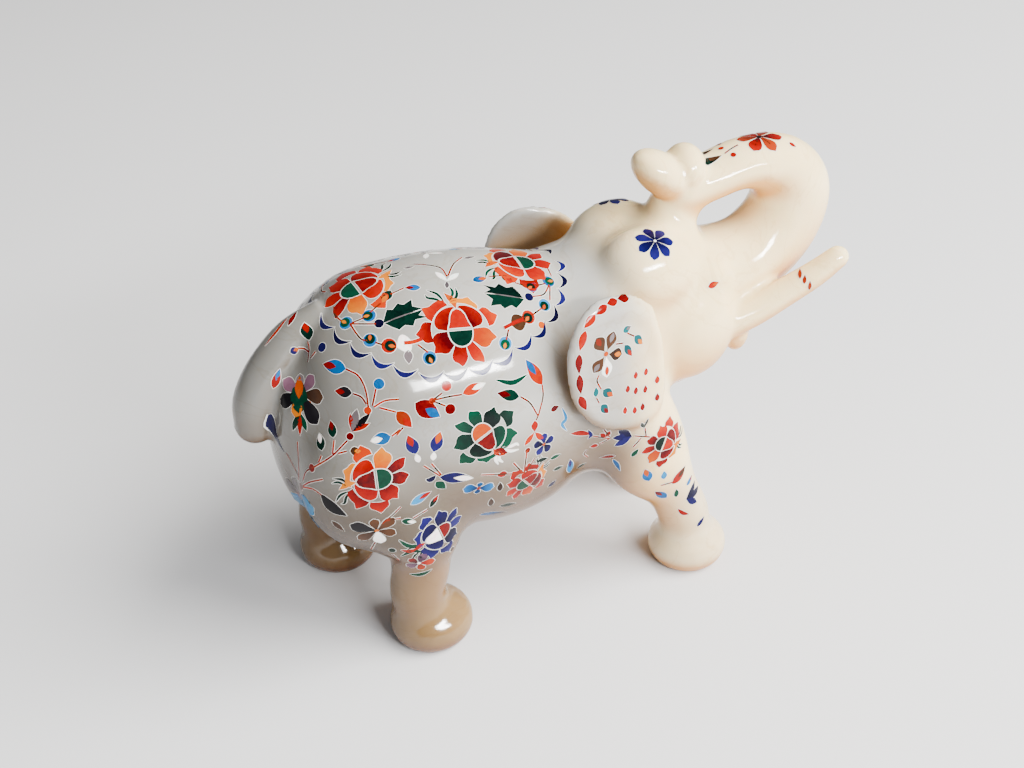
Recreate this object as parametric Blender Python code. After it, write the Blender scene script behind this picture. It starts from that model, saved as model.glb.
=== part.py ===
"""A marble elephant with flower inlay, carved from one block, its trunk raised and curled back over its head.

The figure walks along +X, its right side is towards -Y, and its four soles stand on Z = 0.
It is laid out on the carver's grid, whose square is GRID. Tables of forms are in grid squares, with X measured
from a plumb line through the barrel. Each form is a closed shell: tubes lofted through a few oval sections,
ellipsoids and two crowned ear plates. The shells are fused, the creases between them are rounded off as a carver
would round them, and the soles are cut flat.
"""

import math

import bmesh
import bpy
import numpy as np
from mathutils import Euler, Matrix, Vector

# Driving dimensions, in metres
BACK_HEIGHT = 0.186
BODY_WIDTH = 0.120
FOOT_DIAMETER = 0.043
ANKLE_DIAMETER = 0.028
ANKLE_HEIGHT = 0.029
FOOT_MIDDLE = 0.0085
FOOT_HALF_HEIGHT = 0.015
EAR_THICKNESS = 0.0075
EAR_SPAN = 0.114
EAR_ROOT_OUT = 0.043
EAR_DISH = 0.0024
EAR_LEAN = 0.006
EAR_FLARE = 0.0045
TUSK_DIAMETER = 0.0135
TAIL_WIDTH = 0.021
TRUNK_WIDTH = 0.034

# The carver's grid
SQUARES_TO_BACK = 186
GRID = BACK_HEIGHT / SQUARES_TO_BACK

# Finish
BODY_FILLET = 0.030
HEAD_FILLET = 0.030
TRIM_FILLET = 0.0035
BODY_VOXEL = 0.0030
HEAD_VOXEL = 0.0022
TRIM_VOXEL = 0.0016
MOST_TRIANGLES = 9600
TUBE_SIDES = 40
ROWS_BETWEEN = 6
CAP_ROWS = 6

MARBLE_COLOUR = (0.86, 0.83, 0.76, 1.0)
MARBLE_ROUGHNESS = 0.2

# The barrel: x, underside z, top z, half width as a share of the widest
BARREL = (
    (-109, 70, 154, 0.54),
    (-98, 61, 171, 0.76),
    (-78, 54, 183, 0.93),
    (-50, 48, 186, 1.00),
    (-20, 43, 185, 0.99),
    (2, 44, 181, 0.91),
    (20, 50, 177, 0.80),
    (40, 68, 170, 0.68),
    (54, 92, 160, 0.52),
)

# The neck and the head's core: x, z, half width, half height
NECK = (
    (15, 134, 45, 42),
    (36, 141, 43, 38),
    (56, 144, 37, 35),
    (80, 146, 31, 30),
)

# The lower jaw up to the lip
JAW = (
    (56, 126, 30, 32),
    (82, 121, 28, 28),
    (104, 120, 21, 19),
    (118, 118, 12, 9),
)

# The trunk, from the face up, forward and back over the head: x, z, width as a share, half depth
TRUNK = (
    (84, 154, 1.62, 28),
    (106, 152.5, 1.48, 23.5),
    (129, 158, 1.30, 21),
    (145, 172, 1.16, 21),
    (150, 190, 1.04, 20.5),
    (141, 204, 0.96, 16.5),
    (121, 209, 0.90, 12),
    (102, 205, 0.84, 11),
    (86, 201, 0.80, 13),
)

# Ellipsoids: centre x, y, z, radii x, y, z, and a turn about Y in degrees. The ones off the middle are mirrored
BODY_MASSES = (
    ("shoulder", (32, 30, 112), (30, 20, 40), -20),
    ("haunch", (-80, 31, 103), (37, 28, 44), 0),
)
HEAD_MASSES = (
    ("dome", (62, 16, 168), (27, 20, 23.5), 0),
    ("forehead", (77, 6, 172), (22, 17, 17), 0),
    ("cheek", (84, 22, 136), (26, 17, 28), 0),
    ("brow", (90, 18.5, 161), (18, 12, 13), 0),
    ("trunk_rest", (84, 0, 192), (14, 12, 12), 0),
)
TRIM_MASSES = (
    ("trunk_lip_back", (77, 0, 210), (19, 13, 10), 38),
    ("trunk_lip_front", (88.5, 0, 210), (10.5, 13, 14), 0),
    ("lower_lip", (112, 0, 119.5), (12, 17, 8), -15),
    ("mouth_fold", (114, 20.5, 129), (6.5, 8, 13), 0),
)

# A leg from the hip down: x offset from the foot, share of the way out to the foot, z, half width, half depth
HIND_LEG = (
    (-12, 0.84, 102, 25, 37),
    (-8, 0.94, 80, 22, 29),
    (-4, 1.00, 65, 18, 21.5),
    (-4, 1.00, 54, 15, 16),
    (-4.5, 1.00, 42, 14, 14.5),
)
FAR_HIND_LEG = (
    (9, 0.84, 102, 24, 26),
    (6, 0.94, 80, 20, 22),
    (1, 1.00, 60, 16.5, 17),
    (-4, 1.00, 42, 14, 14.5),
)
FORE_LEG = (
    (-57, 0.86, 118, 22, 31),
    (-39, 0.94, 94, 19, 26),
    (-26, 1.00, 70, 16, 21.5),
    (-13.5, 1.00, 50, 13.5, 14.5),
)

# Where each leg stands: its table, x and y of the foot, and how far the ankle is behind the foot's middle
STANCE = (
    (HIND_LEG, -60, -40, 6.5),
    (FAR_HIND_LEG, -88, 34, 6),
    (FORE_LEG, 88, -36, 4),
    (FORE_LEG, 100, 36, 4),
)

# A tusk: x, y, z, share of its diameter
TUSK = (
    (100, 24, 134, 1.30),
    (118, 27, 141, 1.20),
    (134, 30, 150, 1.08),
    (148, 33, 159, 0.98),
    (158, 35, 167, 0.85),
)

# The tail, laid down the rump: x, z, half width as a share, half depth
TAIL = (
    (-92, 172, 0.70, 6),
    (-107, 163, 0.84, 8),
    (-119, 148, 0.94, 10),
    (-126, 133, 1.00, 11),
    (-128, 121, 0.92, 10),
)

# An ear seen from the side: x and z of its edge, from the front corner up, back and down again
EAR_EDGE = (
    (52, 168),
    (38, 178),
    (20, 180),
    (9, 172),
    (4, 160),
    (4, 146),
    (9, 129),
    (23, 114),
    (44, 107),
    (57, 110),
    (61, 124),
    (59, 146),
)

# The ears: the side, and how far ahead of that edge
EARS = ((-1, 0), (1, 3.5))

# The share of an ear's height where it starts to lean in, and where across it the dish ends and the rim is full
EAR_LEAN_FROM = 0.47
EAR_DISH_EDGE = 0.60
EAR_RIM = 0.92
EAR_RINGS = 9
EAR_EDGE_POINTS = 60


def squares(x, y, z):
    """A point given in grid squares."""
    return Vector((x, y, z)) * GRID


def through(rows, steps):
    """Rows of numbers on a smooth curve through the given rows, with steps between each two."""
    rows = np.array(rows, float)
    ends = np.vstack([2 * rows[0] - rows[1], rows, 2 * rows[-1] - rows[-2]])
    found = []
    for a, b, c, d in zip(ends, ends[1:], ends[2:], ends[3:]):
        for t in np.arange(steps) / steps:
            found.append(
                0.5
                * (
                    2 * b
                    + (c - a) * t
                    + (2 * a - 5 * b + 4 * c - d) * t**2
                    + (3 * b - a - 3 * c + d) * t**3
                )
            )
    return np.vstack([found, rows[-1]])


def add_tube(bm, rows, caps=(1.0, 1.0), facing=None):
    """Adds a closed tube. Rows are centre x, y, z, half width and half depth, in metres, and caps are how far the
    rounded ends reach, as shares of the end's half depth. The sections are square to the centre line, or to a
    given direction."""
    rows = through(rows, ROWS_BETWEEN)
    centres, sizes = rows[:, :3], rows[:, 3:]
    tangents = np.gradient(centres, axis=0)
    if facing:
        tangents[:] = facing
    tangents /= np.linalg.norm(tangents, axis=1)[:, None]
    rings = []
    for row, way, cap in ((0, -1, caps[0]), (len(rows) - 1, 1, caps[1])):
        ended = []
        for turn in np.linspace(0, math.pi / 2, CAP_ROWS + 1)[1:-1]:
            out = way * tangents[row] * cap * sizes[row][1] * math.sin(turn)
            ended.append((centres[row] + out, tangents[row], sizes[row] * math.cos(turn)))
        pole = centres[row] + way * tangents[row] * cap * sizes[row][1]
        rings.append((ended, pole))
    (first, first_pole), (last, last_pole) = rings
    rings = first[::-1] + list(zip(centres, tangents, sizes)) + last
    loops = []
    for centre, tangent, (half_width, half_depth) in rings:
        side = np.array((0.0, 1.0, 0.0))
        side -= tangent * (side @ tangent)
        side /= np.linalg.norm(side)
        deep = np.cross(tangent, side)
        turns = np.arange(TUBE_SIDES) * 2 * math.pi / TUBE_SIDES
        points = (
            centre
            + np.outer(np.cos(turns), side) * half_width
            + np.outer(np.sin(turns), deep) * half_depth
        )
        loops.append([bm.verts.new(p) for p in points])
    for low, high in zip(loops, loops[1:]):
        for i in range(TUBE_SIDES):
            j = (i + 1) % TUBE_SIDES
            bm.faces.new((low[i], low[j], high[j], high[i]))
    for loop, pole, way in ((loops[0], first_pole, -1), (loops[-1], last_pole, 1)):
        tip = bm.verts.new(pole)
        for i in range(TUBE_SIDES):
            ends = (loop[i], loop[(i + 1) % TUBE_SIDES], tip)
            bm.faces.new(ends if way > 0 else ends[::-1])


def add_ellipsoid(bm, centre, radii, turn):
    """Adds an ellipsoid, turned about Y by some degrees."""
    place = Matrix.LocRotScale(squares(*centre), Euler((0, math.radians(turn), 0)), Vector(radii) * GRID)
    bmesh.ops.create_uvsphere(bm, u_segments=TUBE_SIDES, v_segments=TUBE_SIDES // 2, radius=1, matrix=place)


def add_barrel(bm):
    rows = [
        (x, 0, (low + high) / 2, BODY_WIDTH / 2 / GRID * share, (high - low) / 2)
        for x, low, high, share in BARREL
    ]
    add_tube(bm, np.array(rows) * GRID, caps=(0.32, 0.42), facing=(1, 0, 0))


def add_upright(bm, rows, caps, facing=None):
    """Adds a tube whose table is x, z, half width, half depth, in the middle plane."""
    rows = [(x, 0, z, width, depth) for x, z, width, depth in rows]
    add_tube(bm, np.array(rows) * GRID, caps, facing)


def add_leg(bm, table, foot_x, foot_y, behind):
    """Adds a leg and its foot. The foot goes on below the ground, where it is cut."""
    ankle = ANKLE_DIAMETER / 2 / GRID
    rows = [(foot_x + x, foot_y * share, z, width, depth) for x, share, z, width, depth in table]
    middle = FOOT_MIDDLE / GRID
    rows.append((foot_x - behind, foot_y, ANKLE_HEIGHT / GRID, ankle, ankle))
    rows.append((foot_x - behind / 2, foot_y, middle, ankle, ankle))
    add_tube(bm, np.array(rows) * GRID, caps=(0.5, 0.3))
    radius = FOOT_DIAMETER / 2 / GRID
    add_ellipsoid(bm, (foot_x, foot_y, middle), (radius, radius * 0.97, FOOT_HALF_HEIGHT / GRID), 0)


def add_tusk(bm, side):
    half = TUSK_DIAMETER / 2
    rows = [(x * GRID, side * y * GRID, z * GRID, half * share, half * share) for x, y, z, share in TUSK]
    add_tube(bm, rows, caps=(0.5, 1.1))


def add_tail(bm):
    half = TAIL_WIDTH / 2 / GRID
    add_upright(bm, [(x, z, half * share, depth) for x, z, share, depth in TAIL], caps=(0.5, 1.0))


def add_trunk(bm):
    half = TRUNK_WIDTH / 2 / GRID
    add_upright(bm, [(x, z, half * share, depth) for x, z, share, depth in TRUNK], caps=(0.6, 0.8))


def ear_sheet(back, up):
    """How far out the middle of the ear's thickness is. Back is 0 at the front edge and 1 at the rear one, and up is
    0 at the lowest point and 1 at the highest."""
    lean = EAR_LEAN * max(0.0, (up - EAR_LEAN_FROM) / (1 - EAR_LEAN_FROM)) ** 2
    flare = EAR_FLARE * (1 - back) * max(0.0, 1 - up / EAR_LEAN_FROM)
    return EAR_ROOT_OUT + (EAR_SPAN / 2 - EAR_ROOT_OUT) * math.sin(back * math.pi / 2) - lean + flare


def ear_depth(reach, face):
    """How far the surface is from the ear's middle sheet, at a share of the way from its middle to its edge."""
    crown = EAR_THICKNESS / 2 * math.sqrt(1 - reach**6)
    rise = min(1.0, max(0.0, (reach - EAR_DISH_EDGE) / (EAR_RIM - EAR_DISH_EDGE)))
    dish = EAR_DISH * (1 - rise * rise * (3 - 2 * rise)) if face > 0 else 0.0
    return face * (crown - dish)


def add_ear(bm, side, ahead):
    """Adds an ear, a plate that follows a flared sheet and is dished on its outer face."""
    edge = through(EAR_EDGE + EAR_EDGE[:1], EAR_EDGE_POINTS // len(EAR_EDGE))[:-1] + (ahead, 0)
    middle = edge.mean(axis=0)
    low, high = edge.min(axis=0), edge.max(axis=0)

    def surface(x, z, reach, face):
        back, up = (high[0] - x) / (high[0] - low[0]), (z - low[1]) / (high[1] - low[1])
        return Vector((x * GRID, side * (ear_sheet(back, up) + ear_depth(reach, face)), z * GRID))

    count = len(edge)
    rim = [bm.verts.new(surface(x, z, 1.0, 1)) for x, z in edge]
    for face in (1, -1):
        loops = []
        for k in range(1, EAR_RINGS):
            reach = math.sin(k / EAR_RINGS * math.pi / 2)
            ring = middle + (edge - middle) * reach
            loops.append([bm.verts.new(surface(x, z, reach, face)) for x, z in ring])
        loops.append(rim)
        tip = bm.verts.new(surface(*middle, 0.0, face))
        made = []
        for i in range(count):
            j = (i + 1) % count
            made.append(bm.faces.new((tip, loops[0][i], loops[0][j])))
            for inner, outer in zip(loops, loops[1:]):
                made.append(bm.faces.new((inner[i], outer[i], outer[j], inner[j])))
        if face * side < 0:
            bmesh.ops.reverse_faces(bm, faces=made)


def evaluated(mesh, kind, **settings):
    """The mesh that a modifier makes of a mesh."""
    helper = bpy.data.objects.new("helper", mesh)
    bpy.context.scene.collection.objects.link(helper)
    modifier = helper.modifiers.new(kind.title(), kind)
    for name, value in settings.items():
        setattr(modifier, name, value)
    made = bpy.data.meshes.new_from_object(helper.evaluated_get(bpy.context.evaluated_depsgraph_get()))
    bpy.data.objects.remove(helper)
    return made


def fused(bm, voxel):
    """One skin round all the closed shells of a bmesh."""
    bmesh.ops.recalc_face_normals(bm, faces=bm.faces)
    mesh = bpy.data.meshes.new("shells")
    bm.to_mesh(mesh)
    bm.free()
    return evaluated(mesh, "REMESH", mode="VOXEL", voxel_size=voxel)


class Skin:
    """A mesh's points and edges as arrays, to smooth."""

    def __init__(self, mesh):
        self.mesh = mesh
        self.points = np.empty(len(mesh.vertices) * 3)
        mesh.vertices.foreach_get("co", self.points)
        self.points = self.points.reshape(-1, 3)
        self.edges = np.empty(len(mesh.edges) * 2, np.int32)
        mesh.edges.foreach_get("vertices", self.edges)
        self.edges = self.edges.reshape(-1, 2)
        self.degree = np.bincount(self.edges.ravel(), minlength=len(self.points))[:, None]

    def around(self, values):
        """The mean of each point's neighbours."""
        a, b = self.edges.T
        total = np.empty_like(values)
        for k in range(values.shape[1]):
            column = values[:, k]
            total[:, k] = np.bincount(a, column[b], len(column)) + np.bincount(b, column[a], len(column))
        return total / self.degree

    def store(self):
        self.mesh.vertices.foreach_set("co", self.points.ravel())
        self.mesh.update()

    def normals(self):
        self.store()
        found = np.empty(len(self.points) * 3)
        self.mesh.vertices.foreach_get("normal", found)
        return found.reshape(-1, 3)


def polish(skin, rounds):
    """Smooths the whole skin with steps in and out, which keeps its size."""
    for _ in range(rounds):
        for step in (0.5, -0.51):
            skin.points += step * (skin.around(skin.points) - skin.points)


def fillet(skin, radius, rounds):
    """Rounds off each concave crease until it is about as open as the radius. Convex edges stay."""
    spacing = np.linalg.norm(np.diff(skin.points[skin.edges], axis=1), axis=2).mean()
    limit = spacing**2 / 4 / radius
    for n in range(rounds):
        if n % 4 == 0:
            normals = skin.normals()
        pull = skin.around(skin.points) - skin.points
        hollow = (pull * normals).sum(axis=1, keepdims=True)
        tight = np.clip((hollow - limit) / limit, 0, 1)
        for _ in range(3):
            tight = np.maximum(tight, skin.around(tight))
        skin.points += 0.5 * tight * pull
    skin.store()


def add_masses(bm, masses):
    for _name, (x, y, z), radii, turn in masses:
        for side in (1, -1) if y else (1,):
            add_ellipsoid(bm, (x, side * y, z), radii, turn)


def carve_body():
    """The barrel, neck, shoulders, haunches and legs, with wide fillets between them."""
    bm = bmesh.new()
    add_barrel(bm)
    add_upright(bm, NECK, caps=(0.4, 0.7), facing=(1, 0, 0))
    add_masses(bm, BODY_MASSES)
    for leg in STANCE:
        add_leg(bm, *leg)
    skin = Skin(fused(bm, BODY_VOXEL))
    fillet(skin, BODY_FILLET, 260)
    polish(skin, 12)
    skin.store()
    return skin.mesh


def carve_head(body):
    """Adds the jaw, domes, cheeks, brows and trunk."""
    bm = bmesh.new()
    add_upright(bm, JAW, caps=(0.4, 0.8))
    add_trunk(bm)
    add_masses(bm, HEAD_MASSES)
    bm.from_mesh(body)
    skin = Skin(fused(bm, HEAD_VOXEL))
    fillet(skin, HEAD_FILLET, 260)
    polish(skin, 45)
    skin.store()
    return skin.mesh


def carve_trim(figure):
    """Adds the ears, tusks, tail and lips, with tight fillets."""
    bm = bmesh.new()
    for side, ahead in EARS:
        add_ear(bm, side, ahead)
        add_tusk(bm, side)
    add_tail(bm)
    add_masses(bm, TRIM_MASSES)
    bm.from_mesh(figure)
    skin = Skin(fused(bm, TRIM_VOXEL))
    fillet(skin, TRIM_FILLET, 30)
    polish(skin, 3)
    skin.store()
    return skin.mesh


def cut_soles(mesh):
    """Cuts the feet flat at the ground and closes the cuts."""
    bm = bmesh.new()
    bm.from_mesh(mesh)
    geometry = bm.verts[:] + bm.edges[:] + bm.faces[:]
    bmesh.ops.bisect_plane(
        bm, geom=geometry, dist=TRIM_VOXEL / 100, plane_co=(0, 0, 0), plane_no=(0, 0, -1), clear_outer=True
    )
    rims = [e for e in bm.edges if e.is_boundary]
    bmesh.ops.holes_fill(bm, edges=rims, sides=0)
    bmesh.ops.recalc_face_normals(bm, faces=bm.faces)
    bm.to_mesh(mesh)
    bm.free()


def centre_on_origin(mesh):
    """Moves the origin to the middle of the statue's box, on the ground."""
    points = np.array([v.co for v in mesh.vertices])
    middle = (points.min(axis=0) + points.max(axis=0)) / 2
    mesh.transform(Matrix.Translation((-middle[0], -middle[1], 0)))


def marble():
    material = bpy.data.materials.new("white_marble")
    material.use_nodes = True
    shader = material.node_tree.nodes["Principled BSDF"]
    shader.inputs["Base Color"].default_value = MARBLE_COLOUR
    shader.inputs["Roughness"].default_value = MARBLE_ROUGHNESS
    material.diffuse_color = MARBLE_COLOUR
    return material


def main():
    for old in list(bpy.data.objects):
        bpy.data.objects.remove(old)
    mesh = carve_trim(carve_head(carve_body()))
    mesh.calc_loop_triangles()
    share = MOST_TRIANGLES / len(mesh.loop_triangles)
    mesh = evaluated(mesh, "DECIMATE", ratio=share)
    cut_soles(mesh)
    centre_on_origin(mesh)
    mesh.materials.clear()
    mesh.materials.append(marble())
    mesh.shade_smooth()
    elephant = bpy.data.objects.new("elephant", mesh)
    bpy.context.scene.collection.objects.link(elephant)


main()
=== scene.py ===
"""The looks of the marble inlay elephant: the polished marble, and the coloured stones set flush in it.

Lengths are in metres. The forms are laid out as in the CAD source, in grid squares, and then moved onto the
CAD node. Places read off the photograph are pixels of its 1024 by 768 frame, with y down.
"""

import math
import random

import bmesh
import bpy
import numpy as np
from mathutils import Euler, Matrix, Vector
from mathutils.bvhtree import BVHTree
from mathutils.geometry import barycentric_transform, delaunay_2d_cdt


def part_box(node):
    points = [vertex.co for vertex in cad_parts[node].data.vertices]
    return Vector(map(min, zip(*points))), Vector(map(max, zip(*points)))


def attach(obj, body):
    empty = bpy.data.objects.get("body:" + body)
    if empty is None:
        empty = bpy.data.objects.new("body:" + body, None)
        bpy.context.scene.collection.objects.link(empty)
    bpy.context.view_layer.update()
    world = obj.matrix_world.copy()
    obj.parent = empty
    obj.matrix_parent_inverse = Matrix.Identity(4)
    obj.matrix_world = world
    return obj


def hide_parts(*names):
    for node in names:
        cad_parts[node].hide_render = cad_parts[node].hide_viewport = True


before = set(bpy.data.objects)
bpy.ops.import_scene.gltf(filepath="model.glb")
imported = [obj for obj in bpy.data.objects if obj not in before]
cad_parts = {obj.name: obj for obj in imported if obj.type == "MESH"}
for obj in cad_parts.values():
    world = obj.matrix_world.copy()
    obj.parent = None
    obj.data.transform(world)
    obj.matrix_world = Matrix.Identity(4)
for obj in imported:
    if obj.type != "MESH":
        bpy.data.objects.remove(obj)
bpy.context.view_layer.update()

# Driving dimensions, in metres
BACK_HEIGHT = 0.186
BODY_WIDTH = 0.120
FOOT_DIAMETER = 0.043
ANKLE_DIAMETER = 0.028
ANKLE_HEIGHT = 0.029
FOOT_MIDDLE = 0.0085
FOOT_HALF_HEIGHT = 0.015
EAR_THICKNESS = 0.0075
EAR_SPAN = 0.114
EAR_ROOT_OUT = 0.043
EAR_DISH = 0.0024
EAR_LEAN = 0.006
EAR_FLARE = 0.0045
TUSK_DIAMETER = 0.0135
TAIL_WIDTH = 0.021
TRUNK_WIDTH = 0.034

# The carver's grid
SQUARES_TO_BACK = 186
GRID = BACK_HEIGHT / SQUARES_TO_BACK

# Finish
BODY_FILLET = 0.030
HEAD_FILLET = 0.030
TRIM_FILLET = 0.0035
BODY_VOXEL = 0.0030
HEAD_VOXEL = 0.0022
TRIM_VOXEL = 0.00155
TUBE_SIDES = 48
ROWS_BETWEEN = 8
CAP_ROWS = 8
FILLET_ROUNDS = 260
TRIM_ROUNDS = 30
BODY_POLISH = 12
HEAD_POLISH = 45
TRIM_POLISH = 3

# The photograph's camera, round a point above the middle of the feet
PHOTO_SIZE = (1024, 768)
FOCAL_PIXELS = 1236
SENSOR_WIDTH = 0.036
CAMERA_DISTANCE = 0.618
CAMERA_TARGET = (0.0, 0.0, 0.110)
CAMERA_ELEVATION = 34
CAMERA_BEHIND = 22

# How the stones lie on the marble
MM = 0.001
PIXEL = 0.00048  # one pixel's width on marble that faces the camera
LAYER_HEIGHTS = (0.00003, 0.00010, 0.00014, 0.00018)  # lime, slips, slips set in slips
LIME_EDGE = 0.00024
MOST_RISE = 0.0008
SLIP_GRAIN = 0.0016
ROW_SPACING = 0.87  # of the grain
EDGE_CLEARANCE = 0.4  # of the grain
POINT_ERROR = 1e-5  # of the grain
SHEET_CLEARANCE = 0.009
SEED = 12  # of the slips' tones

# The left side: the strip at the spine where motifs stay single, how well a twin must fit, and how far ahead
# its ear and legs are
SPINE_WIDTH = 0.006
TWIN_ERROR = 0.003
EAR_AHEAD = 0.0035
FORE_STRIDE = 0.012
HIND_STRIDE = -0.028
LEG_TOP = 0.115
LEG_FADE = 0.090

# The saddle's scallops
SCALLOP_WIDTH = 0.0024
SCALLOP_DEPTH = 0.0038
SCALLOP_REACH = 0.97
SCALLOP_ROWS = 11

# The marble's colours and shades, and where they change along and up the statue. Besides the marble's own tint
# they hold painted light and shade: painted light on the cream head, painted shade on the greyer body, painted
# warm bounce light from the floor on the legs, and painted shade on the rear, the hind legs and the lower body
CREAM_MARBLE_AND_PAINTED_LIGHT = (250, 226, 174)
BODY_MARBLE_AND_PAINTED_SHADE = (163, 162, 158)
LEG_MARBLE_AND_PAINTED_BOUNCE = (218, 198, 160)
PAINTED_REAR_SHADE = (180, 179, 177)
PAINTED_HIND_LEG_SHADE = (204, 196, 186)
PAINTED_LOW_SHADE = (166, 149, 128)
PAINTED_GOLDEN_SHADE = (220, 174, 122)
HEAD_STARTS = 0.012
HEAD_FULL = 0.045
REAR_STARTS = -0.020
REAR_FULL = -0.125
LOW_STARTS = 0.138
LOW_FULL = 0.084
LEG_STARTS = 0.078
LEG_FULL = 0.045

# Where painted golden shade goes: in hollows, by how far off other marble is, and as painted warm bounce light
# from the floor, on faces turned down
HOLLOW_REACH = 0.022
HOLLOW_STARTS = 0.75
HOLLOW_FULL = 0.10
DOWN_STARTS = 0.25
DOWN_FULL = -0.55
DOWN_SHARE = 0.9

# The marble's clouds and veins, and how light goes into it
CLOUD_SCALE = 30
CLOUD_STOPS = ((0.3, (0.90, 0.88, 0.84)), (0.7, (1.0, 1.0, 1.0)))
VEIN_SCALE = 14
VEIN_STOPS = ((0.485, (1, 1, 1)), (0.5, (0.93, 0.90, 0.86)), (0.515, (1, 1, 1)))
GLOW_SHARE = 0.35
GLOW_DEPTH = 0.004
GLOW_COLOUR = (1.0, 0.7, 0.45)

# Lights: where each comes from, distance, size, power and colour, whether it lights and whether it is mirrored
WINDOW = (0.22, -0.80, 0.44)
WHITE = (1, 1, 1)
LIGHTS = (
    ("window", WINDOW, 1.3, (0.56, 0.13), 28, WHITE, True, True),
    ("window_glare", WINDOW, 1.35, (0.85, 0.19), 40, WHITE, False, True),
    ("sky", (0.70, -0.38, 0.80), 3.0, (2.4, 2.4), 400, (1.0, 0.985, 0.95), True, False),
)
LIGHTS_AIM = (0, 0, 0.10)
WORLD_LIGHT = 0.30
FLOOR_SIZE = 12
FLOOR_DROP = 0.0002
FLOOR_STOPS = ((0, (0.62, 0.62, 0.63)), (1, (0.63, 0.63, 0.64)))

# How the stones' tones vary, inside a slip and from slip to slip
MOTTLE_SCALE = 260
TONE_SPREAD = 0.9

# Colours of the stones, from a slip's heart to its tip, after how much they mottle
STONES = {
    "coral": (0.6, (58, 0, 4), (98, 0, 0), (124, 3, 0), (138, 14, 0), (154, 38, 0)),
    "rust": (0.5, (84, 14, 4), (136, 40, 8)),
    "amber": (0.5, (140, 36, 0), (164, 66, 0), (184, 102, 2)),
    "malachite": (0.7, (0, 10, 8), (0, 32, 22), (0, 54, 36)),
    "lapis": (0.6, (4, 2, 24), (9, 6, 52), (22, 18, 82)),
    "turquoise": (0.6, (0, 40, 80), (2, 80, 138), (36, 120, 166)),
    "teal": (0.5, (0, 40, 48), (0, 96, 100)),
    "walnut": (0.7, (28, 15, 9), (70, 42, 24)),
    "jet": (0.4, (3, 3, 5), (18, 16, 20)),
    "smoke": (0.7, (52, 47, 50), (104, 94, 96)),
    "mauve": (0.7, (56, 36, 52), (116, 80, 98)),
    "lime": (0.2, (214, 212, 204), (226, 224, 218)),
    "shell": (0,),
}

# A rose's petals: from and to in degrees clockwise from up, then the inner edge, body and tip as shares of
# the radius, and the tip's turn. An inner edge of 0 follows the drop at the heart.
ROSE_PETALS = (
    (-84, -4, 0, 0.66, 0.66, -45),
    (4, 80, 0, 0.68, 0.68, 45),
    (-148, -88, 0, 0.72, 0.84, -124),
    (84, 134, 0, 0.78, 0.90, 104),
    (138, 166, 0, 0.80, 0.92, 148),
    (170, 208, 0, 0.76, 0.84, 184),
    (-64, -16, 0.69, 0.92, 1.06, -51),
    (-106, -68, 0.69, 0.94, 1.06, -89),
    (-10, 44, 0.71, 0.84, 0.92, 22),
    (48, 84, 0.71, 0.92, 1.03, 71),
)
PETAL_OVERLAP = 1.2
ROSE_SHADE = 1.5
WARM_PETALS = ("coral", "coral", "coral", "amber", "coral")

# The spike and the sepals at a rose's tip, as shares of its radius
SEPAL_WIDTH = 0.075
SPIKE_SHADE = 0.6
ROSE_SPIKE = ((0, 0.56), (0.06, 0.74), (-0.02, 0.90), (-0.20, 1.02), (-0.16, 0.84), (-0.08, 0.68))
ROSE_SEPALS = (
    ((-0.24, 0.72), (-0.42, 0.86), (-0.60, 0.92), (-0.64, 1.02)),
    ((-0.24, 0.76), (-0.36, 1.00), (-0.58, 1.14)),
    ((-0.10, 0.80), (0.02, 1.00), (-0.02, 1.18)),
    ((-0.04, 0.76), (0.10, 0.92), (0.12, 1.14)),
)

# A petal: half its tip's width in degrees, how hollow the tip's sides are, and how square and full the body is
PETAL_POINT = 9
POINT_HOLLOW = 1.3
PETAL_SQUARENESS = 3
PETAL_FULLNESS = 0.4
PETAL_STEPS = 21

# The drop at a rose's heart, as shares of the rose's radius, and the turns that its gem and wedge span
DROP_RADIUS = 0.295
DROP_POINT = 0.28
DROP_FOOT = 0.08
DROP_GAP = 0.015
GEM_SHARE = 0.97
GEM_POINTS = 13
GEM_TURNS = (88, 272)
WEDGE_TURNS = (-74, 74)

# An open flower's petals and the lines in them, as shares of its radius
FLOWER_BODY = 0.93
LINE_LENGTH = 0.5
LINE_WIDTH = 0.07
LINE_STARTS = 0.2

# How finely the other outlines are drawn
ALMOND_STEPS = 10
DISC_STEPS = 14
STROKE_STEPS = 5
STEM_STEPS = 9
STROKE_STARTS = 0.06
STROKE_ENDS = 0.98

# A bud's widest place, and how far down its inner slip starts, how short that ends and how wide it is
BUD_WIDEST = 0.42
BUD_HEART = 0.6
BUD_HEART_SHORT = 0.98
BUD_HEART_WIDTH = 0.5
SPRIG_WIDEST = 0.55

# A bead's heart and wedge, as shares of its radius
BEAD_HEART = 0.72
BEAD_HEART_UP = 0.16
BEAD_WEDGE_LENGTH = 0.95
BEAD_WEDGE_WIDTH = 0.5
BEAD_WEDGE_STARTS = -0.1

# The two halves of a lobed leaf and the spine between them, with its length as 1
LEAF_SHADE = 0.3
LEAF_SPINE_LENGTH = 0.78
LEAF_SPINE_WIDTH = 0.035
LEAF_SPINE_STARTS = 0.04
LEAF_HALVES = (
    (
        (0, 0), (-0.14, 0.10), (-0.30, 0.22), (-0.24, 0.34), (-0.36, 0.52), (-0.27, 0.62), (-0.34, 0.86),
        (-0.15, 0.80), (-0.012, 1.00),
    ),
    (
        (0.012, 0.03), (0.012, 1.00), (0.12, 0.84), (0.24, 1.02), (0.20, 0.72), (0.33, 0.62), (0.24, 0.44),
        (0.30, 0.28), (0.16, 0.14),
    ),
)

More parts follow.
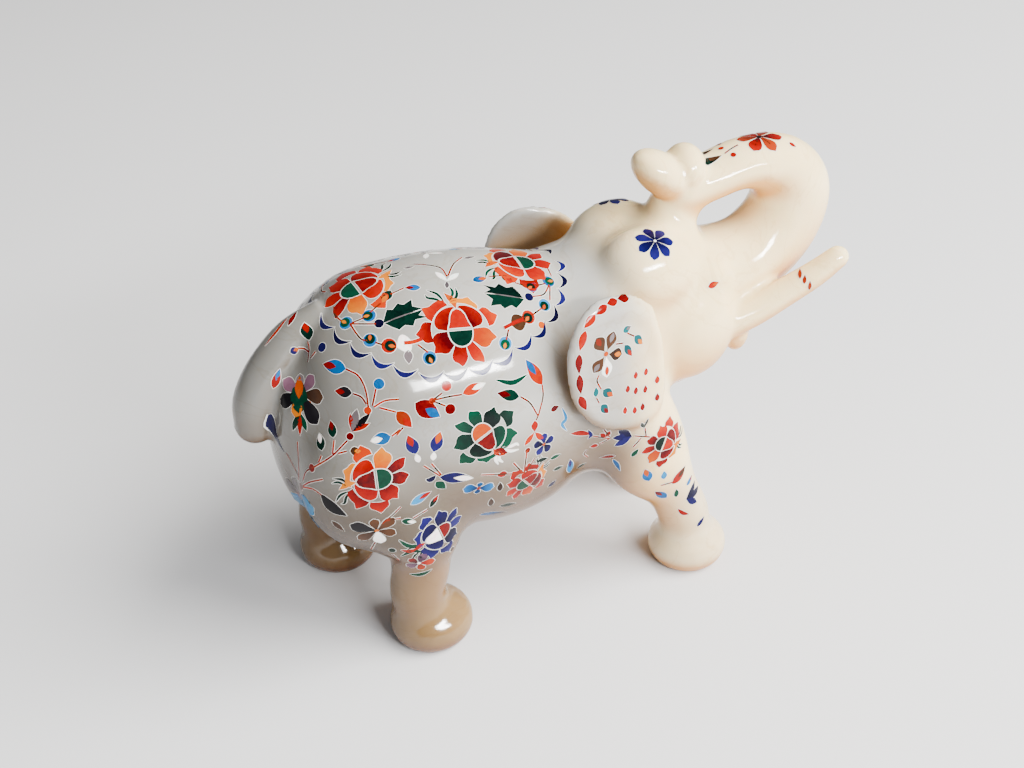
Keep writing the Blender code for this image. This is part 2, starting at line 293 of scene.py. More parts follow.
# The barrel: x, underside z, top z, half width as a share of the widest
BARREL = (
    (-109, 70, 154, 0.54),
    (-98, 61, 171, 0.76),
    (-78, 54, 183, 0.93),
    (-50, 48, 186, 1.00),
    (-20, 43, 185, 0.99),
    (2, 44, 181, 0.91),
    (20, 50, 177, 0.80),
    (40, 68, 170, 0.68),
    (54, 92, 160, 0.52),
)

# The neck and the head's core: x, z, half width, half height
NECK = (
    (15, 134, 45, 42),
    (36, 141, 43, 38),
    (56, 144, 37, 35),
    (80, 146, 31, 30),
)

# The lower jaw up to the lip
JAW = (
    (56, 126, 30, 32),
    (82, 121, 28, 28),
    (104, 120, 21, 19),
    (118, 118, 12, 9),
)

# The trunk, from the face up, forward and back over the head: x, z, width as a share, half depth
TRUNK = (
    (84, 154, 1.62, 28),
    (106, 152.5, 1.48, 23.5),
    (129, 158, 1.30, 21),
    (145, 172, 1.16, 21),
    (150, 190, 1.04, 20.5),
    (141, 204, 0.96, 16.5),
    (121, 209, 0.90, 12),
    (102, 205, 0.84, 11),
    (86, 201, 0.80, 13),
)

# Ellipsoids: centre x, y, z, radii x, y, z, and a turn about Y in degrees. Those off the middle are mirrored
BODY_MASSES = (
    ("shoulder", (32, 30, 112), (30, 20, 40), -20),
    ("haunch", (-80, 31, 103), (37, 28, 44), 0),
)
HEAD_MASSES = (
    ("dome", (62, 16, 168), (27, 20, 23.5), 0),
    ("forehead", (77, 6, 172), (22, 17, 17), 0),
    ("cheek", (84, 22, 136), (26, 17, 28), 0),
    ("brow", (90, 18.5, 161), (18, 12, 13), 0),
    ("trunk_rest", (84, 0, 192), (14, 12, 12), 0),
)
TRIM_MASSES = (
    ("trunk_lip_back", (77, 0, 210), (19, 13, 10), 38),
    ("trunk_lip_front", (88.5, 0, 210), (10.5, 13, 14), 0),
    ("lower_lip", (112, 0, 119.5), (12, 17, 8), -15),
    ("mouth_fold", (114, 20.5, 129), (6.5, 8, 13), 0),
)

# A leg from the hip down: x from the foot, share of the way out to the foot, z, half width, half depth
HIND_LEG = (
    (-12, 0.84, 102, 25, 37),
    (-8, 0.94, 80, 22, 29),
    (-4, 1.00, 65, 18, 21.5),
    (-4, 1.00, 54, 15, 16),
    (-4.5, 1.00, 42, 14, 14.5),
)
FAR_HIND_LEG = (
    (9, 0.84, 102, 24, 26),
    (6, 0.94, 80, 20, 22),
    (1, 1.00, 60, 16.5, 17),
    (-4, 1.00, 42, 14, 14.5),
)
FORE_LEG = (
    (-57, 0.86, 118, 22, 31),
    (-39, 0.94, 94, 19, 26),
    (-26, 1.00, 70, 16, 21.5),
    (-13.5, 1.00, 50, 13.5, 14.5),
)

# Where each leg stands: its table, x and y of the foot, and how far the ankle is behind the foot's middle
STANCE = (
    (HIND_LEG, -60, -40, 6.5),
    (FAR_HIND_LEG, -88, 34, 6),
    (FORE_LEG, 88, -36, 4),
    (FORE_LEG, 100, 36, 4),
)

# A tusk: x, y, z, share of its diameter
TUSK = (
    (100, 24, 134, 1.30),
    (118, 27, 141, 1.20),
    (134, 30, 150, 1.08),
    (148, 33, 159, 0.98),
    (158, 35, 167, 0.85),
)

# The tail, laid down the rump: x, z, half width as a share, half depth
TAIL = (
    (-92, 172, 0.70, 6),
    (-107, 163, 0.84, 8),
    (-119, 148, 0.94, 10),
    (-126, 133, 1.00, 11),
    (-128, 121, 0.92, 10),
)

# An ear seen from the side: x and z of its edge, from the front corner up, back and down again
EAR_EDGE = (
    (52, 168),
    (38, 178),
    (20, 180),
    (9, 172),
    (4, 160),
    (4, 146),
    (9, 129),
    (23, 114),
    (44, 107),
    (57, 110),
    (61, 124),
    (59, 146),
)

# The ears: the side, and how far ahead of that edge
EARS = ((-1, 0), (1, 3.5))

# The share of an ear's height where it leans in, and where across it the dish ends and the rim is full
EAR_LEAN_FROM = 0.47
EAR_DISH_EDGE = 0.60
EAR_RIM = 0.92
EAR_RINGS = 9
EAR_EDGE_POINTS = 60


def squares(x, y, z):
    """A point given in grid squares."""
    return Vector((x, y, z)) * GRID


def through(rows, steps):
    """Rows of numbers on a smooth curve through the given rows, with steps between each two."""
    rows = np.array(rows, float)
    ends = np.vstack([2 * rows[0] - rows[1], rows, 2 * rows[-1] - rows[-2]])
    found = []
    for a, b, c, d in zip(ends, ends[1:], ends[2:], ends[3:]):
        bend, swing = 2 * a - 5 * b + 4 * c - d, 3 * b - a - 3 * c + d
        for t in np.arange(steps) / steps:
            found.append(0.5 * (2 * b + (c - a) * t + bend * t**2 + swing * t**3))
    return np.vstack([found, rows[-1]])


def add_tube(bm, rows, caps=(1.0, 1.0), facing=None):
    """Adds a closed tube. Rows are centre x, y, z, half width and half depth, in metres, and caps are how far
    the rounded ends reach, as shares of the end's half depth. The sections are square to the centre line, or
    to a given direction."""
    rows = through(rows, ROWS_BETWEEN)
    centres, sizes = rows[:, :3], rows[:, 3:]
    tangents = np.gradient(centres, axis=0)
    if facing:
        tangents[:] = facing
    tangents /= np.linalg.norm(tangents, axis=1)[:, None]
    rings = []
    for row, way, cap in ((0, -1, caps[0]), (len(rows) - 1, 1, caps[1])):
        ended = []
        for turn in np.linspace(0, math.pi / 2, CAP_ROWS + 1)[1:-1]:
            out = way * tangents[row] * cap * sizes[row][1] * math.sin(turn)
            ended.append((centres[row] + out, tangents[row], sizes[row] * math.cos(turn)))
        pole = centres[row] + way * tangents[row] * cap * sizes[row][1]
        rings.append((ended, pole))
    (first, first_pole), (last, last_pole) = rings
    rings = first[::-1] + list(zip(centres, tangents, sizes)) + last
    loops = []
    for centre, tangent, (half_width, half_depth) in rings:
        side = np.array((0.0, 1.0, 0.0))
        side -= tangent * (side @ tangent)
        side /= np.linalg.norm(side)
        deep = np.cross(tangent, side)
        turns = np.arange(TUBE_SIDES) * 2 * math.pi / TUBE_SIDES
        points = (
            centre
            + np.outer(np.cos(turns), side) * half_width
            + np.outer(np.sin(turns), deep) * half_depth
        )
        loops.append([bm.verts.new(p) for p in points])
    for low, high in zip(loops, loops[1:]):
        for i in range(TUBE_SIDES):
            j = (i + 1) % TUBE_SIDES
            bm.faces.new((low[i], low[j], high[j], high[i]))
    for loop, pole, way in ((loops[0], first_pole, -1), (loops[-1], last_pole, 1)):
        tip = bm.verts.new(pole)
        for i in range(TUBE_SIDES):
            ends = (loop[i], loop[(i + 1) % TUBE_SIDES], tip)
            bm.faces.new(ends if way > 0 else ends[::-1])


def add_ellipsoid(bm, centre, radii, turn):
    """Adds an ellipsoid, turned about Y by some degrees."""
    place = Matrix.LocRotScale(squares(*centre), Euler((0, math.radians(turn), 0)), Vector(radii) * GRID)
    bmesh.ops.create_uvsphere(bm, u_segments=TUBE_SIDES, v_segments=TUBE_SIDES // 2, radius=1, matrix=place)


def add_barrel(bm):
    rows = [
        (x, 0, (low + high) / 2, BODY_WIDTH / 2 / GRID * share, (high - low) / 2)
        for x, low, high, share in BARREL
    ]
    add_tube(bm, np.array(rows) * GRID, caps=(0.32, 0.42), facing=(1, 0, 0))


def add_upright(bm, rows, caps, facing=None):
    """Adds a tube whose table is x, z, half width, half depth, in the middle plane."""
    rows = [(x, 0, z, width, depth) for x, z, width, depth in rows]
    add_tube(bm, np.array(rows) * GRID, caps, facing)


def add_leg(bm, table, foot_x, foot_y, behind):
    """Adds a leg and its foot. The foot goes on below the ground, where it is cut."""
    ankle = ANKLE_DIAMETER / 2 / GRID
    rows = [(foot_x + x, foot_y * share, z, width, depth) for x, share, z, width, depth in table]
    middle = FOOT_MIDDLE / GRID
    rows.append((foot_x - behind, foot_y, ANKLE_HEIGHT / GRID, ankle, ankle))
    rows.append((foot_x - behind / 2, foot_y, middle, ankle, ankle))
    add_tube(bm, np.array(rows) * GRID, caps=(0.5, 0.3))
    radius = FOOT_DIAMETER / 2 / GRID
    add_ellipsoid(bm, (foot_x, foot_y, middle), (radius, radius * 0.97, FOOT_HALF_HEIGHT / GRID), 0)


def add_tusk(bm, side):
    half = TUSK_DIAMETER / 2
    rows = [(x * GRID, side * y * GRID, z * GRID, half * share, half * share) for x, y, z, share in TUSK]
    add_tube(bm, rows, caps=(0.5, 1.1))


def add_tail(bm):
    half = TAIL_WIDTH / 2 / GRID
    add_upright(bm, [(x, z, half * share, depth) for x, z, share, depth in TAIL], caps=(0.5, 1.0))


def add_trunk(bm):
    half = TRUNK_WIDTH / 2 / GRID
    add_upright(bm, [(x, z, half * share, depth) for x, z, share, depth in TRUNK], caps=(0.6, 0.8))


def ear_sheet(back, up):
    """How far out the middle of the ear's thickness is. Back is 0 at the front edge and 1 at the rear one, and
    up is 0 at the lowest point and 1 at the highest."""
    lean = EAR_LEAN * max(0.0, (up - EAR_LEAN_FROM) / (1 - EAR_LEAN_FROM)) ** 2
    flare = EAR_FLARE * (1 - back) * max(0.0, 1 - up / EAR_LEAN_FROM)
    return EAR_ROOT_OUT + (EAR_SPAN / 2 - EAR_ROOT_OUT) * math.sin(back * math.pi / 2) - lean + flare


def ear_depth(reach, face):
    """How far the surface is from the ear's middle sheet, at a share of the way from middle to edge."""
    crown = EAR_THICKNESS / 2 * math.sqrt(1 - reach**6)
    rise = min(1.0, max(0.0, (reach - EAR_DISH_EDGE) / (EAR_RIM - EAR_DISH_EDGE)))
    dish = EAR_DISH * (1 - rise * rise * (3 - 2 * rise)) if face > 0 else 0.0
    return face * (crown - dish)


def add_ear(bm, side, ahead):
    """Adds an ear, a plate that follows a flared sheet and is dished on its outer face."""
    edge = through(EAR_EDGE + EAR_EDGE[:1], EAR_EDGE_POINTS // len(EAR_EDGE))[:-1] + (ahead, 0)
    middle = edge.mean(axis=0)
    low, high = edge.min(axis=0), edge.max(axis=0)

    def surface(x, z, reach, face):
        back, up = (high[0] - x) / (high[0] - low[0]), (z - low[1]) / (high[1] - low[1])
        return Vector((x * GRID, side * (ear_sheet(back, up) + ear_depth(reach, face)), z * GRID))

    count = len(edge)
    rim = [bm.verts.new(surface(x, z, 1.0, 1)) for x, z in edge]
    for face in (1, -1):
        loops = []
        for k in range(1, EAR_RINGS):
            reach = math.sin(k / EAR_RINGS * math.pi / 2)
            ring = middle + (edge - middle) * reach
            loops.append([bm.verts.new(surface(x, z, reach, face)) for x, z in ring])
        loops.append(rim)
        tip = bm.verts.new(surface(*middle, 0.0, face))
        made = []
        for i in range(count):
            j = (i + 1) % count
            made.append(bm.faces.new((tip, loops[0][i], loops[0][j])))
            for inner, outer in zip(loops, loops[1:]):
                made.append(bm.faces.new((inner[i], outer[i], outer[j], inner[j])))
        if face * side < 0:
            bmesh.ops.reverse_faces(bm, faces=made)


def placed(name, data):
    """A new object in the scene."""
    made = bpy.data.objects.new(name, data)
    bpy.context.scene.collection.objects.link(made)
    return made


def evaluated(mesh, kind, **settings):
    """The mesh that a modifier makes of a mesh."""
    helper = placed("helper", mesh)
    modifier = helper.modifiers.new(kind.title(), kind)
    for name, value in settings.items():
        setattr(modifier, name, value)
    made = bpy.data.meshes.new_from_object(helper.evaluated_get(bpy.context.evaluated_depsgraph_get()))
    bpy.data.objects.remove(helper)
    return made


def fused(bm, voxel):
    """One skin round all the closed shells of a bmesh."""
    bmesh.ops.recalc_face_normals(bm, faces=bm.faces)
    mesh = bpy.data.meshes.new("shells")
    bm.to_mesh(mesh)
    bm.free()
    return evaluated(mesh, "REMESH", mode="VOXEL", voxel_size=voxel)


class Skin:
    """A mesh's points and edges as arrays, to smooth."""

    def __init__(self, mesh):
        self.mesh = mesh
        self.points = np.empty(len(mesh.vertices) * 3)
        mesh.vertices.foreach_get("co", self.points)
        self.points = self.points.reshape(-1, 3)
        self.edges = np.empty(len(mesh.edges) * 2, np.int32)
        mesh.edges.foreach_get("vertices", self.edges)
        self.edges = self.edges.reshape(-1, 2)
        self.degree = np.bincount(self.edges.ravel(), minlength=len(self.points))[:, None]

    def around(self, values):
        """The mean of each point's neighbours."""
        a, b = self.edges.T
        total = np.empty_like(values)
        for k in range(values.shape[1]):
            column = values[:, k]
            total[:, k] = np.bincount(a, column[b], len(column)) + np.bincount(b, column[a], len(column))
        return total / self.degree

    def store(self):
        self.mesh.vertices.foreach_set("co", self.points.ravel())
        self.mesh.update()

    def normals(self):
        self.store()
        found = np.empty(len(self.points) * 3)
        self.mesh.vertices.foreach_get("normal", found)
        return found.reshape(-1, 3)


def polish(skin, rounds):
    """Smooths the whole skin with steps in and out, which keeps its size."""
    for _ in range(rounds):
        for step in (0.5, -0.51):
            skin.points += step * (skin.around(skin.points) - skin.points)


def fillet(skin, radius, rounds):
    """Rounds off each concave crease until it is about as open as the radius. Convex edges stay."""
    spacing = np.linalg.norm(np.diff(skin.points[skin.edges], axis=1), axis=2).mean()
    limit = spacing**2 / 4 / radius
    for n in range(rounds):
        if n % 4 == 0:
            normals = skin.normals()
        pull = skin.around(skin.points) - skin.points
        hollow = (pull * normals).sum(axis=1, keepdims=True)
        tight = np.clip((hollow - limit) / limit, 0, 1)
        for _ in range(3):
            tight = np.maximum(tight, skin.around(tight))
        skin.points += 0.5 * tight * pull
    skin.store()


def ground(bm, voxel, radius, rounds, polish_rounds):
    """One mesh of all the shells, with its creases filled and its skin polished."""
    skin = Skin(fused(bm, voxel))
    fillet(skin, radius, rounds)
    polish(skin, polish_rounds)
    skin.store()
    return skin.mesh


def add_masses(bm, masses):
    for _name, (x, y, z), radii, turn in masses:
        for side in (1, -1) if y else (1,):
            add_ellipsoid(bm, (x, side * y, z), radii, turn)


def carve_body():
    """The barrel, neck, shoulders, haunches and legs, with wide fillets between them."""
    bm = bmesh.new()
    add_barrel(bm)
    add_upright(bm, NECK, caps=(0.4, 0.7), facing=(1, 0, 0))
    add_masses(bm, BODY_MASSES)
    for leg in STANCE:
        add_leg(bm, *leg)
    return ground(bm, BODY_VOXEL, BODY_FILLET, FILLET_ROUNDS, BODY_POLISH)


def carve_head(body):
    """Adds the jaw, domes, cheeks, brows and trunk."""
    bm = bmesh.new()
    add_upright(bm, JAW, caps=(0.4, 0.8))
    add_trunk(bm)
    add_masses(bm, HEAD_MASSES)
    bm.from_mesh(body)
    return ground(bm, HEAD_VOXEL, HEAD_FILLET, FILLET_ROUNDS, HEAD_POLISH)


def carve_trim(figure):
    """Adds the ears, tusks, tail and lips, with tight fillets."""
    bm = bmesh.new()
    for side, ahead in EARS:
        add_ear(bm, side, ahead)
        add_tusk(bm, side)
    add_tail(bm)
    add_masses(bm, TRIM_MASSES)
    bm.from_mesh(figure)
    return ground(bm, TRIM_VOXEL, TRIM_FILLET, TRIM_ROUNDS, TRIM_POLISH)


def cut_soles(mesh):
    """Cuts the feet flat at the ground and closes the cuts."""
    bm = bmesh.new()
    bm.from_mesh(mesh)
    geometry = bm.verts[:] + bm.edges[:] + bm.faces[:]
    bmesh.ops.bisect_plane(
        bm, geom=geometry, dist=TRIM_VOXEL / 100, plane_co=(0, 0, 0), plane_no=(0, 0, -1), clear_outer=True
    )
    rims = [e for e in bm.edges if e.is_boundary]
    bmesh.ops.holes_fill(bm, edges=rims, sides=0)
    bmesh.ops.recalc_face_normals(bm, faces=bm.faces)
    bm.to_mesh(mesh)
    bm.free()


# Nodes of the materials


def linear(*screen):
    """A screen colour of 0 to 255 as a linear one."""
    return tuple((c / 255 / 12.92) if c < 10.3 else ((c / 255 + 0.055) / 1.055) ** 2.4 for c in screen)


class Nodes:
    """A material's node tree, with short ways to add to it."""

    def __init__(self, name, **values):
        self.material = bpy.data.materials.new(name)
        self.material.use_nodes = True
        self.tree = self.material.node_tree
        self.shader = self.tree.nodes["Principled BSDF"]
        for socket, value in values.items():
            self.shader.inputs[socket.replace("_", " ")].default_value = value

    def add(self, kind, inputs=(), **settings):
        node = self.tree.nodes.new("ShaderNode" + kind)
        for name, value in settings.items():
            setattr(node, name, value)
        for name, value in dict(inputs).items():
            if isinstance(value, bpy.types.NodeSocket):
                self.tree.links.new(value, node.inputs[name])
            else:
                node.inputs[name].default_value = value
        return node

    def link(self, output, socket):
        self.tree.links.new(output, self.shader.inputs[socket])

    def position(self):
        return self.add("NewGeometry").outputs["Position"]

    def noise(self, scale, detail=3, distortion=0.0):
        inputs = {"Scale": scale, "Detail": detail, "Distortion": distortion, "Vector": self.position()}
        return self.add("TexNoise", inputs).outputs["Fac"]

    def math(self, operation, *values, clamp=False):
        node = self.add("Math", enumerate(values), operation=operation, use_clamp=clamp)
        return node.outputs[0]

    def ramp(self, fac, stops):
        node = self.add("ValToRGB", {"Fac": fac})
        ramp = node.color_ramp
        while len(ramp.elements) < len(stops):
            ramp.elements.new(0.5)
        for element, (place, colour) in zip(ramp.elements, stops):
            element.position = place
            element.color = (*colour, 1.0)
        return node.outputs["Color"]

    def between(self, value, low, high):
        """0 where a value is low, 1 where it is high, and smooth between."""
        inputs = {"Value": value, "From Min": low, "From Max": high}
        return self.add("MapRange", inputs, interpolation_type="SMOOTHSTEP").outputs["Result"]

    def mix(self, fac, a, b, how="MIX"):
        node = self.add("Mix", {"Factor": fac}, data_type="RGBA", blend_type=how)
        for socket, value in ((node.inputs[6], a), (node.inputs[7], b)):
            if isinstance(value, bpy.types.NodeSocket):
                self.tree.links.new(value, socket)
            else:
                socket.default_value = (*value, 1.0)
        return node.outputs[2]


def white_marble():
    """Cream marble, greyer on the body, with faint clouds and veins. Painted into its colour are light on the
    head, shade on the body, the rear, the hind legs and the lower body, golden shade in hollows, and warm
    bounce light from the floor on the legs and on faces turned down.
    """
    nodes = Nodes(
        "polished_white_marble",
        Roughness=0.10,
        IOR=1.5,
        Subsurface_Weight=GLOW_SHARE,
        Subsurface_Radius=GLOW_COLOUR,
        Subsurface_Scale=GLOW_DEPTH,
    )
    place = nodes.add("SeparateXYZ", {"Vector": nodes.position()})
    facing = nodes.add("SeparateXYZ", {"Vector": nodes.add("NewGeometry").outputs["Normal"]})
    fore = nodes.between(place.outputs["X"], HEAD_STARTS, HEAD_FULL)
    foot = nodes.between(place.outputs["Z"], LEG_STARTS, LEG_FULL)
    # Painted light and shade: the head's cream is partly painted light and the body's grey partly painted
    # shade, besides the marble's own tint
    colour = nodes.mix(fore, linear(*BODY_MARBLE_AND_PAINTED_SHADE), linear(*CREAM_MARBLE_AND_PAINTED_LIGHT))
    # Painted bounce light: the legs' warmth is partly painted warm light from the floor, partly the marble's
    # tone
    colour = nodes.mix(foot, colour, linear(*LEG_MARBLE_AND_PAINTED_BOUNCE))
    # Painted shade towards the rear and on the hind legs
    rear = nodes.between(place.outputs["X"], REAR_STARTS, REAR_FULL)
    shade = nodes.mix(foot, linear(*PAINTED_REAR_SHADE), linear(*PAINTED_HIND_LEG_SHADE))
    colour = nodes.mix(rear, colour, nodes.mix(1.0, colour, shade, "MULTIPLY"))
    # Painted shade on the lower body, behind the head
    low = nodes.between(place.outputs["Z"], LOW_STARTS, LOW_FULL)
    low = nodes.math("MULTIPLY", low, nodes.between(fore, 1, 0))
    colour = nodes.mix(low, colour, nodes.mix(1.0, colour, linear(*PAINTED_LOW_SHADE), "MULTIPLY"))
    cloud = nodes.ramp(nodes.noise(CLOUD_SCALE, 5, distortion=0.8), CLOUD_STOPS)
    colour = nodes.mix(1.0, colour, cloud, "MULTIPLY")
    vein = nodes.ramp(nodes.noise(VEIN_SCALE, 6, distortion=2.5), VEIN_STOPS)
    colour = nodes.mix(1.0, colour, vein, "MULTIPLY")
    # Painted golden shade in hollows, and painted warm bounce light from the floor on faces turned down
    hollow = nodes.add("AmbientOcclusion", {"Distance": HOLLOW_REACH}, samples=8).outputs["AO"]
    hollow = nodes.between(hollow, HOLLOW_STARTS, HOLLOW_FULL)
    down = nodes.between(facing.outputs["Z"], DOWN_STARTS, DOWN_FULL)
    warm = nodes.math("MULTIPLY_ADD", down, DOWN_SHARE, hollow, clamp=True)
    colour = nodes.mix(warm, colour, nodes.mix(1.0, colour, linear(*PAINTED_GOLDEN_SHADE), "MULTIPLY"))
    nodes.link(colour, "Base Color")
    return nodes.material


# Stones laid in the marble


def stone_material(name, colours, mottle):
    """A polished stone. Colours run from a slip's heart to its tip, and each slip is cut from its own place in
    the stone, so its tone shifts along them."""
    nodes = Nodes(name, Roughness=0.12, IOR=1.54, Specular_IOR_Level=0.1)
    reach = nodes.add("Attribute", attribute_name="reach").outputs["Fac"]
    tone = nodes.add("Attribute", attribute_name="tone").outputs["Fac"]
    shift = nodes.math("MULTIPLY_ADD", tone, TONE_SPREAD, -TONE_SPREAD / 2)
    cloud = nodes.noise(MOTTLE_SCALE, 4, distortion=1.2)
    drift = nodes.math("MULTIPLY_ADD", cloud, mottle, -mottle / 2)
    place = nodes.math("ADD", reach, nodes.math("ADD", shift, drift), clamp=True)
    stops = [(k / (len(colours) - 1), linear(*colour)) for k, colour in enumerate(colours)]
    nodes.link(nodes.ramp(place, stops), "Base Color")
    return nodes.material


def shell_material():
    """Mother of pearl: white, with a slight play of pink and green."""
    nodes = Nodes("shell", Roughness=0.12, IOR=1.56)
    cloud = nodes.noise(190, 3, distortion=2.0)
    stops = ((0.3, linear(214, 232, 226)), (0.5, linear(246, 242, 236)), (0.7, linear(240, 214, 214)))
    nodes.link(nodes.ramp(cloud, stops), "Base Color")
    return nodes.material


class Slips:
    """All the slips of one stone, gathered for one mesh."""

    def __init__(self):
        self.points, self.normals, self.faces, self.reach, self.tone = [], [], [], [], []

    def add(self, places, faces, reach, tone, layer):
        first = len(self.points)
        heights = [LAYER_HEIGHTS[layer] + rise for rise in rises(places, faces)]
        self.points += [place + normal * height for (place, normal), height in zip(places, heights)]
        self.normals += [normal for _, normal in places]
        self.faces += [[first + i for i in face] for face in faces]
        self.reach += reach
        self.tone += [tone] * len(places)

    def build(self, name):
        mesh = bpy.data.meshes.new("inlay_" + name)
        mesh.from_pydata(self.points, [], self.faces)
        for attribute, values in (("reach", self.reach), ("tone", self.tone)):
            mesh.attributes.new(attribute, "FLOAT", "POINT").data.foreach_set("value", values)
        mesh.shade_smooth()
        mesh.normals_split_custom_set_from_vertices(self.normals)
        mottle, *colours = STONES[name]
        mesh.materials.append(stone_material(name, colours, mottle) if colours else shell_material())
        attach(placed(mesh.name, mesh), "root")


def rises(places, faces):
    """How far each corner of a slip must rise for its flat triangles to clear the marble's curve."""
    found = [0.0] * len(places)
    for face in faces:
        corners = [places[i] for i in face]
        for samples in (corners, corners[:2], corners[1:], corners[::2]):
            middle = sum((p for p, _ in samples), Vector()) / len(samples)
            normal = sum((n for _, n in samples), Vector()).normalized()
            rise = (carving.below(middle, normal)[0] - middle).dot(normal)
            if rise < MOST_RISE:
                for i in face:
                    found[i] = max(found[i], rise)
    return found


class Carving:
    """The finished surface, to find places on and to lay stones on. A place is a point and its normal."""

    def __init__(self, mesh, shift):
        mesh.calc_loop_triangles()
        self.points = [v.co.copy() for v in mesh.vertices]
        self.normals = [v.normal.copy() for v in mesh.vertices]
        self.corners = [tuple(t.vertices) for t in mesh.loop_triangles]
        self.tree = BVHTree.FromPolygons(self.points, self.corners)
        self.shift = shift
        self.slips = {}
        self.chance = random.Random(SEED)

    def place(self, hit):
        point, _, index, _ = hit
        if point is None:
            return None
        corners = self.corners[index]
        ends = [self.points[i] for i in corners]
        normal = barycentric_transform(point, *ends, *(self.normals[i] for i in corners))
        return point, normal.normalized()

    def nearest(self, point):
        return self.place(self.tree.find_nearest(point))

    def below(self, point, normal):
        """The place under a point, along a normal."""
        hit = self.tree.ray_cast(point + normal * SHEET_CLEARANCE, -normal, 3 * SHEET_CLEARANCE)
        return self.place(hit) or self.nearest(point)

    def seen(self, pixel):
        """The place that the photograph shows at a pixel."""
        right, up, back = camera_axes()
        x, y = pixel[0] - PHOTO_SIZE[0] / 2, PHOTO_SIZE[1] / 2 - pixel[1]
        ray = (right * x + up * y - back * FOCAL_PIXELS).normalized()
        eye = camera_place(self.shift)
        return self.place(self.tree.ray_cast(eye, ray)) or self.nearest(eye + ray * CAMERA_DISTANCE)

    def across(self, point, ahead):
        """Where the left side has the match of a point on the right one. Its legs stand ahead or behind."""
        fore = point.x > self.shift.x
        stride = (FORE_STRIDE if fore else HIND_STRIDE) * min(1, max(0, (LEG_TOP - point.z) / LEG_FADE))
        return Vector((point.x + ahead + stride, 2 * self.shift.y - point.y, point.z))

    def paired(self, point):
        """Whether a motif here is clear of the spine, so that the left side has one too."""
        return self.shift.y - point.y > SPINE_WIDTH

    def cut(self, stone, places, faces, paired, reach=None, layer=1, ahead=0.0):
        """Lays a slip on the right side and, if paired, its twin on the left one where the sides match."""
        tone = self.chance.random()
        reach = reach or [0.5] * len(places)
        slips = self.slips.setdefault(stone, Slips())
        slips.add(places, faces, reach, tone, layer)
        if not paired:
            return
        aims = [self.across(point, ahead) for point, _ in places]
        twins = [self.nearest(aim) for aim in aims]
        if max((a - t[0]).length for a, t in zip(aims, twins)) < TWIN_ERROR:
            slips.add(twins, [face[::-1] for face in faces], reach, 1 - tone, layer)


class Sheet:
    """A flat sheet that touches the marble at one place, where a motif is drawn before it is laid down. Up on
    it is towards a second place."""

    def __init__(self, place, towards, ahead=0.0):
        self.point, self.normal = place
        up = towards - self.point
        self.up = (up - self.normal * up.dot(self.normal)).normalized()
        self.right = self.up.cross(self.normal)
        self.length = (towards - self.point).length
        self.ahead = ahead
        self.paired = carving.paired(self.point)

    def lay(self, stone, outline, layer=1, shade=None):
        """Lays a slip of stone, bedded in a thin edge of lime if it lies on the marble itself."""
        edge = dense(outline)
        if layer == 1:
            self.press("lime", *bed(edge), 0)
        self.press(stone, *filled(edge), layer, shade)

    def press(self, stone, flat, faces, layer, shade=None):
        places = [carving.below(self.point + self.right * u + self.up * v, self.normal) for u, v in flat]
        reach = [shade(u, v) for u, v in flat] if shade else None
        carving.cut(stone, places, faces, self.paired, reach, layer, self.ahead)


def sheet(pixel, towards, ahead=0.0):
    """A sheet at the place seen at one pixel, with up towards another."""
    return Sheet(carving.seen(pixel), carving.seen(towards)[0], ahead)


def dense(outline):
    """An outline as close points, turning left."""
    ends = np.array(outline)
    edge = []
    for a, b in zip(ends, np.roll(ends, -1, axis=0)):
        parts = max(1, math.ceil(np.linalg.norm(b - a) / SLIP_GRAIN))
        edge += [a + (b - a) * k / parts for k in range(parts)]
    edge = np.array(edge)
    following = np.roll(edge, -1, axis=0)
    turning = (edge[:, 0] * following[:, 1] - edge[:, 1] * following[:, 0]).sum()
    return edge if turning > 0 else edge[::-1]


def bed(edge):
    """Points and faces of a thin border outside an edge."""
    along = np.roll(edge, -1, axis=0) - np.roll(edge, 1, axis=0)
    along /= np.maximum(np.linalg.norm(along, axis=1), 1e-9)[:, None]
    outer = edge + np.column_stack((along[:, 1], -along[:, 0])) * LIME_EDGE
    n = len(edge)
    return [*edge, *outer], [(i, n + i, n + (i + 1) % n, (i + 1) % n) for i in range(n)]


def filled(edge):
    """Points and triangles inside an edge, close enough together to follow the marble."""
    following = np.roll(edge, -1, axis=0)
    low, high = edge.min(axis=0), edge.max(axis=0)
    inner = [
        (u + (row % 2) * SLIP_GRAIN / 2, v)
        for row, v in enumerate(np.arange(low[1], high[1], SLIP_GRAIN * ROW_SPACING))
        for u in np.arange(low[0], high[0], SLIP_GRAIN)
    ]
    points = list(edge)
    run = following - edge
    for p in np.array(inner).reshape(-1, 2):
        share = np.clip(((p - edge) * run).sum(axis=1) / (run**2).sum(axis=1), 0, 1)
        near = np.linalg.norm(edge + run * share[:, None] - p, axis=1).min()
        crossing = (edge[:, 1] > p[1]) != (following[:, 1] > p[1])
        rise = np.where(run[:, 1] == 0, 1, run[:, 1])
        left = p[0] < edge[:, 0] + (p[1] - edge[:, 1]) / rise * run[:, 0]
        if near > EDGE_CLEARANCE * SLIP_GRAIN and (crossing & left).sum() % 2:
            points.append(p)
    scaled = [Vector(p) / SLIP_GRAIN for p in points]
    points, _, faces, *_ = delaunay_2d_cdt(scaled, [], [list(range(len(edge)))], 1, POINT_ERROR)
    return [p * SLIP_GRAIN for p in points], faces


# Outlines, drawn with up as the way from a motif's base or heart to its tip


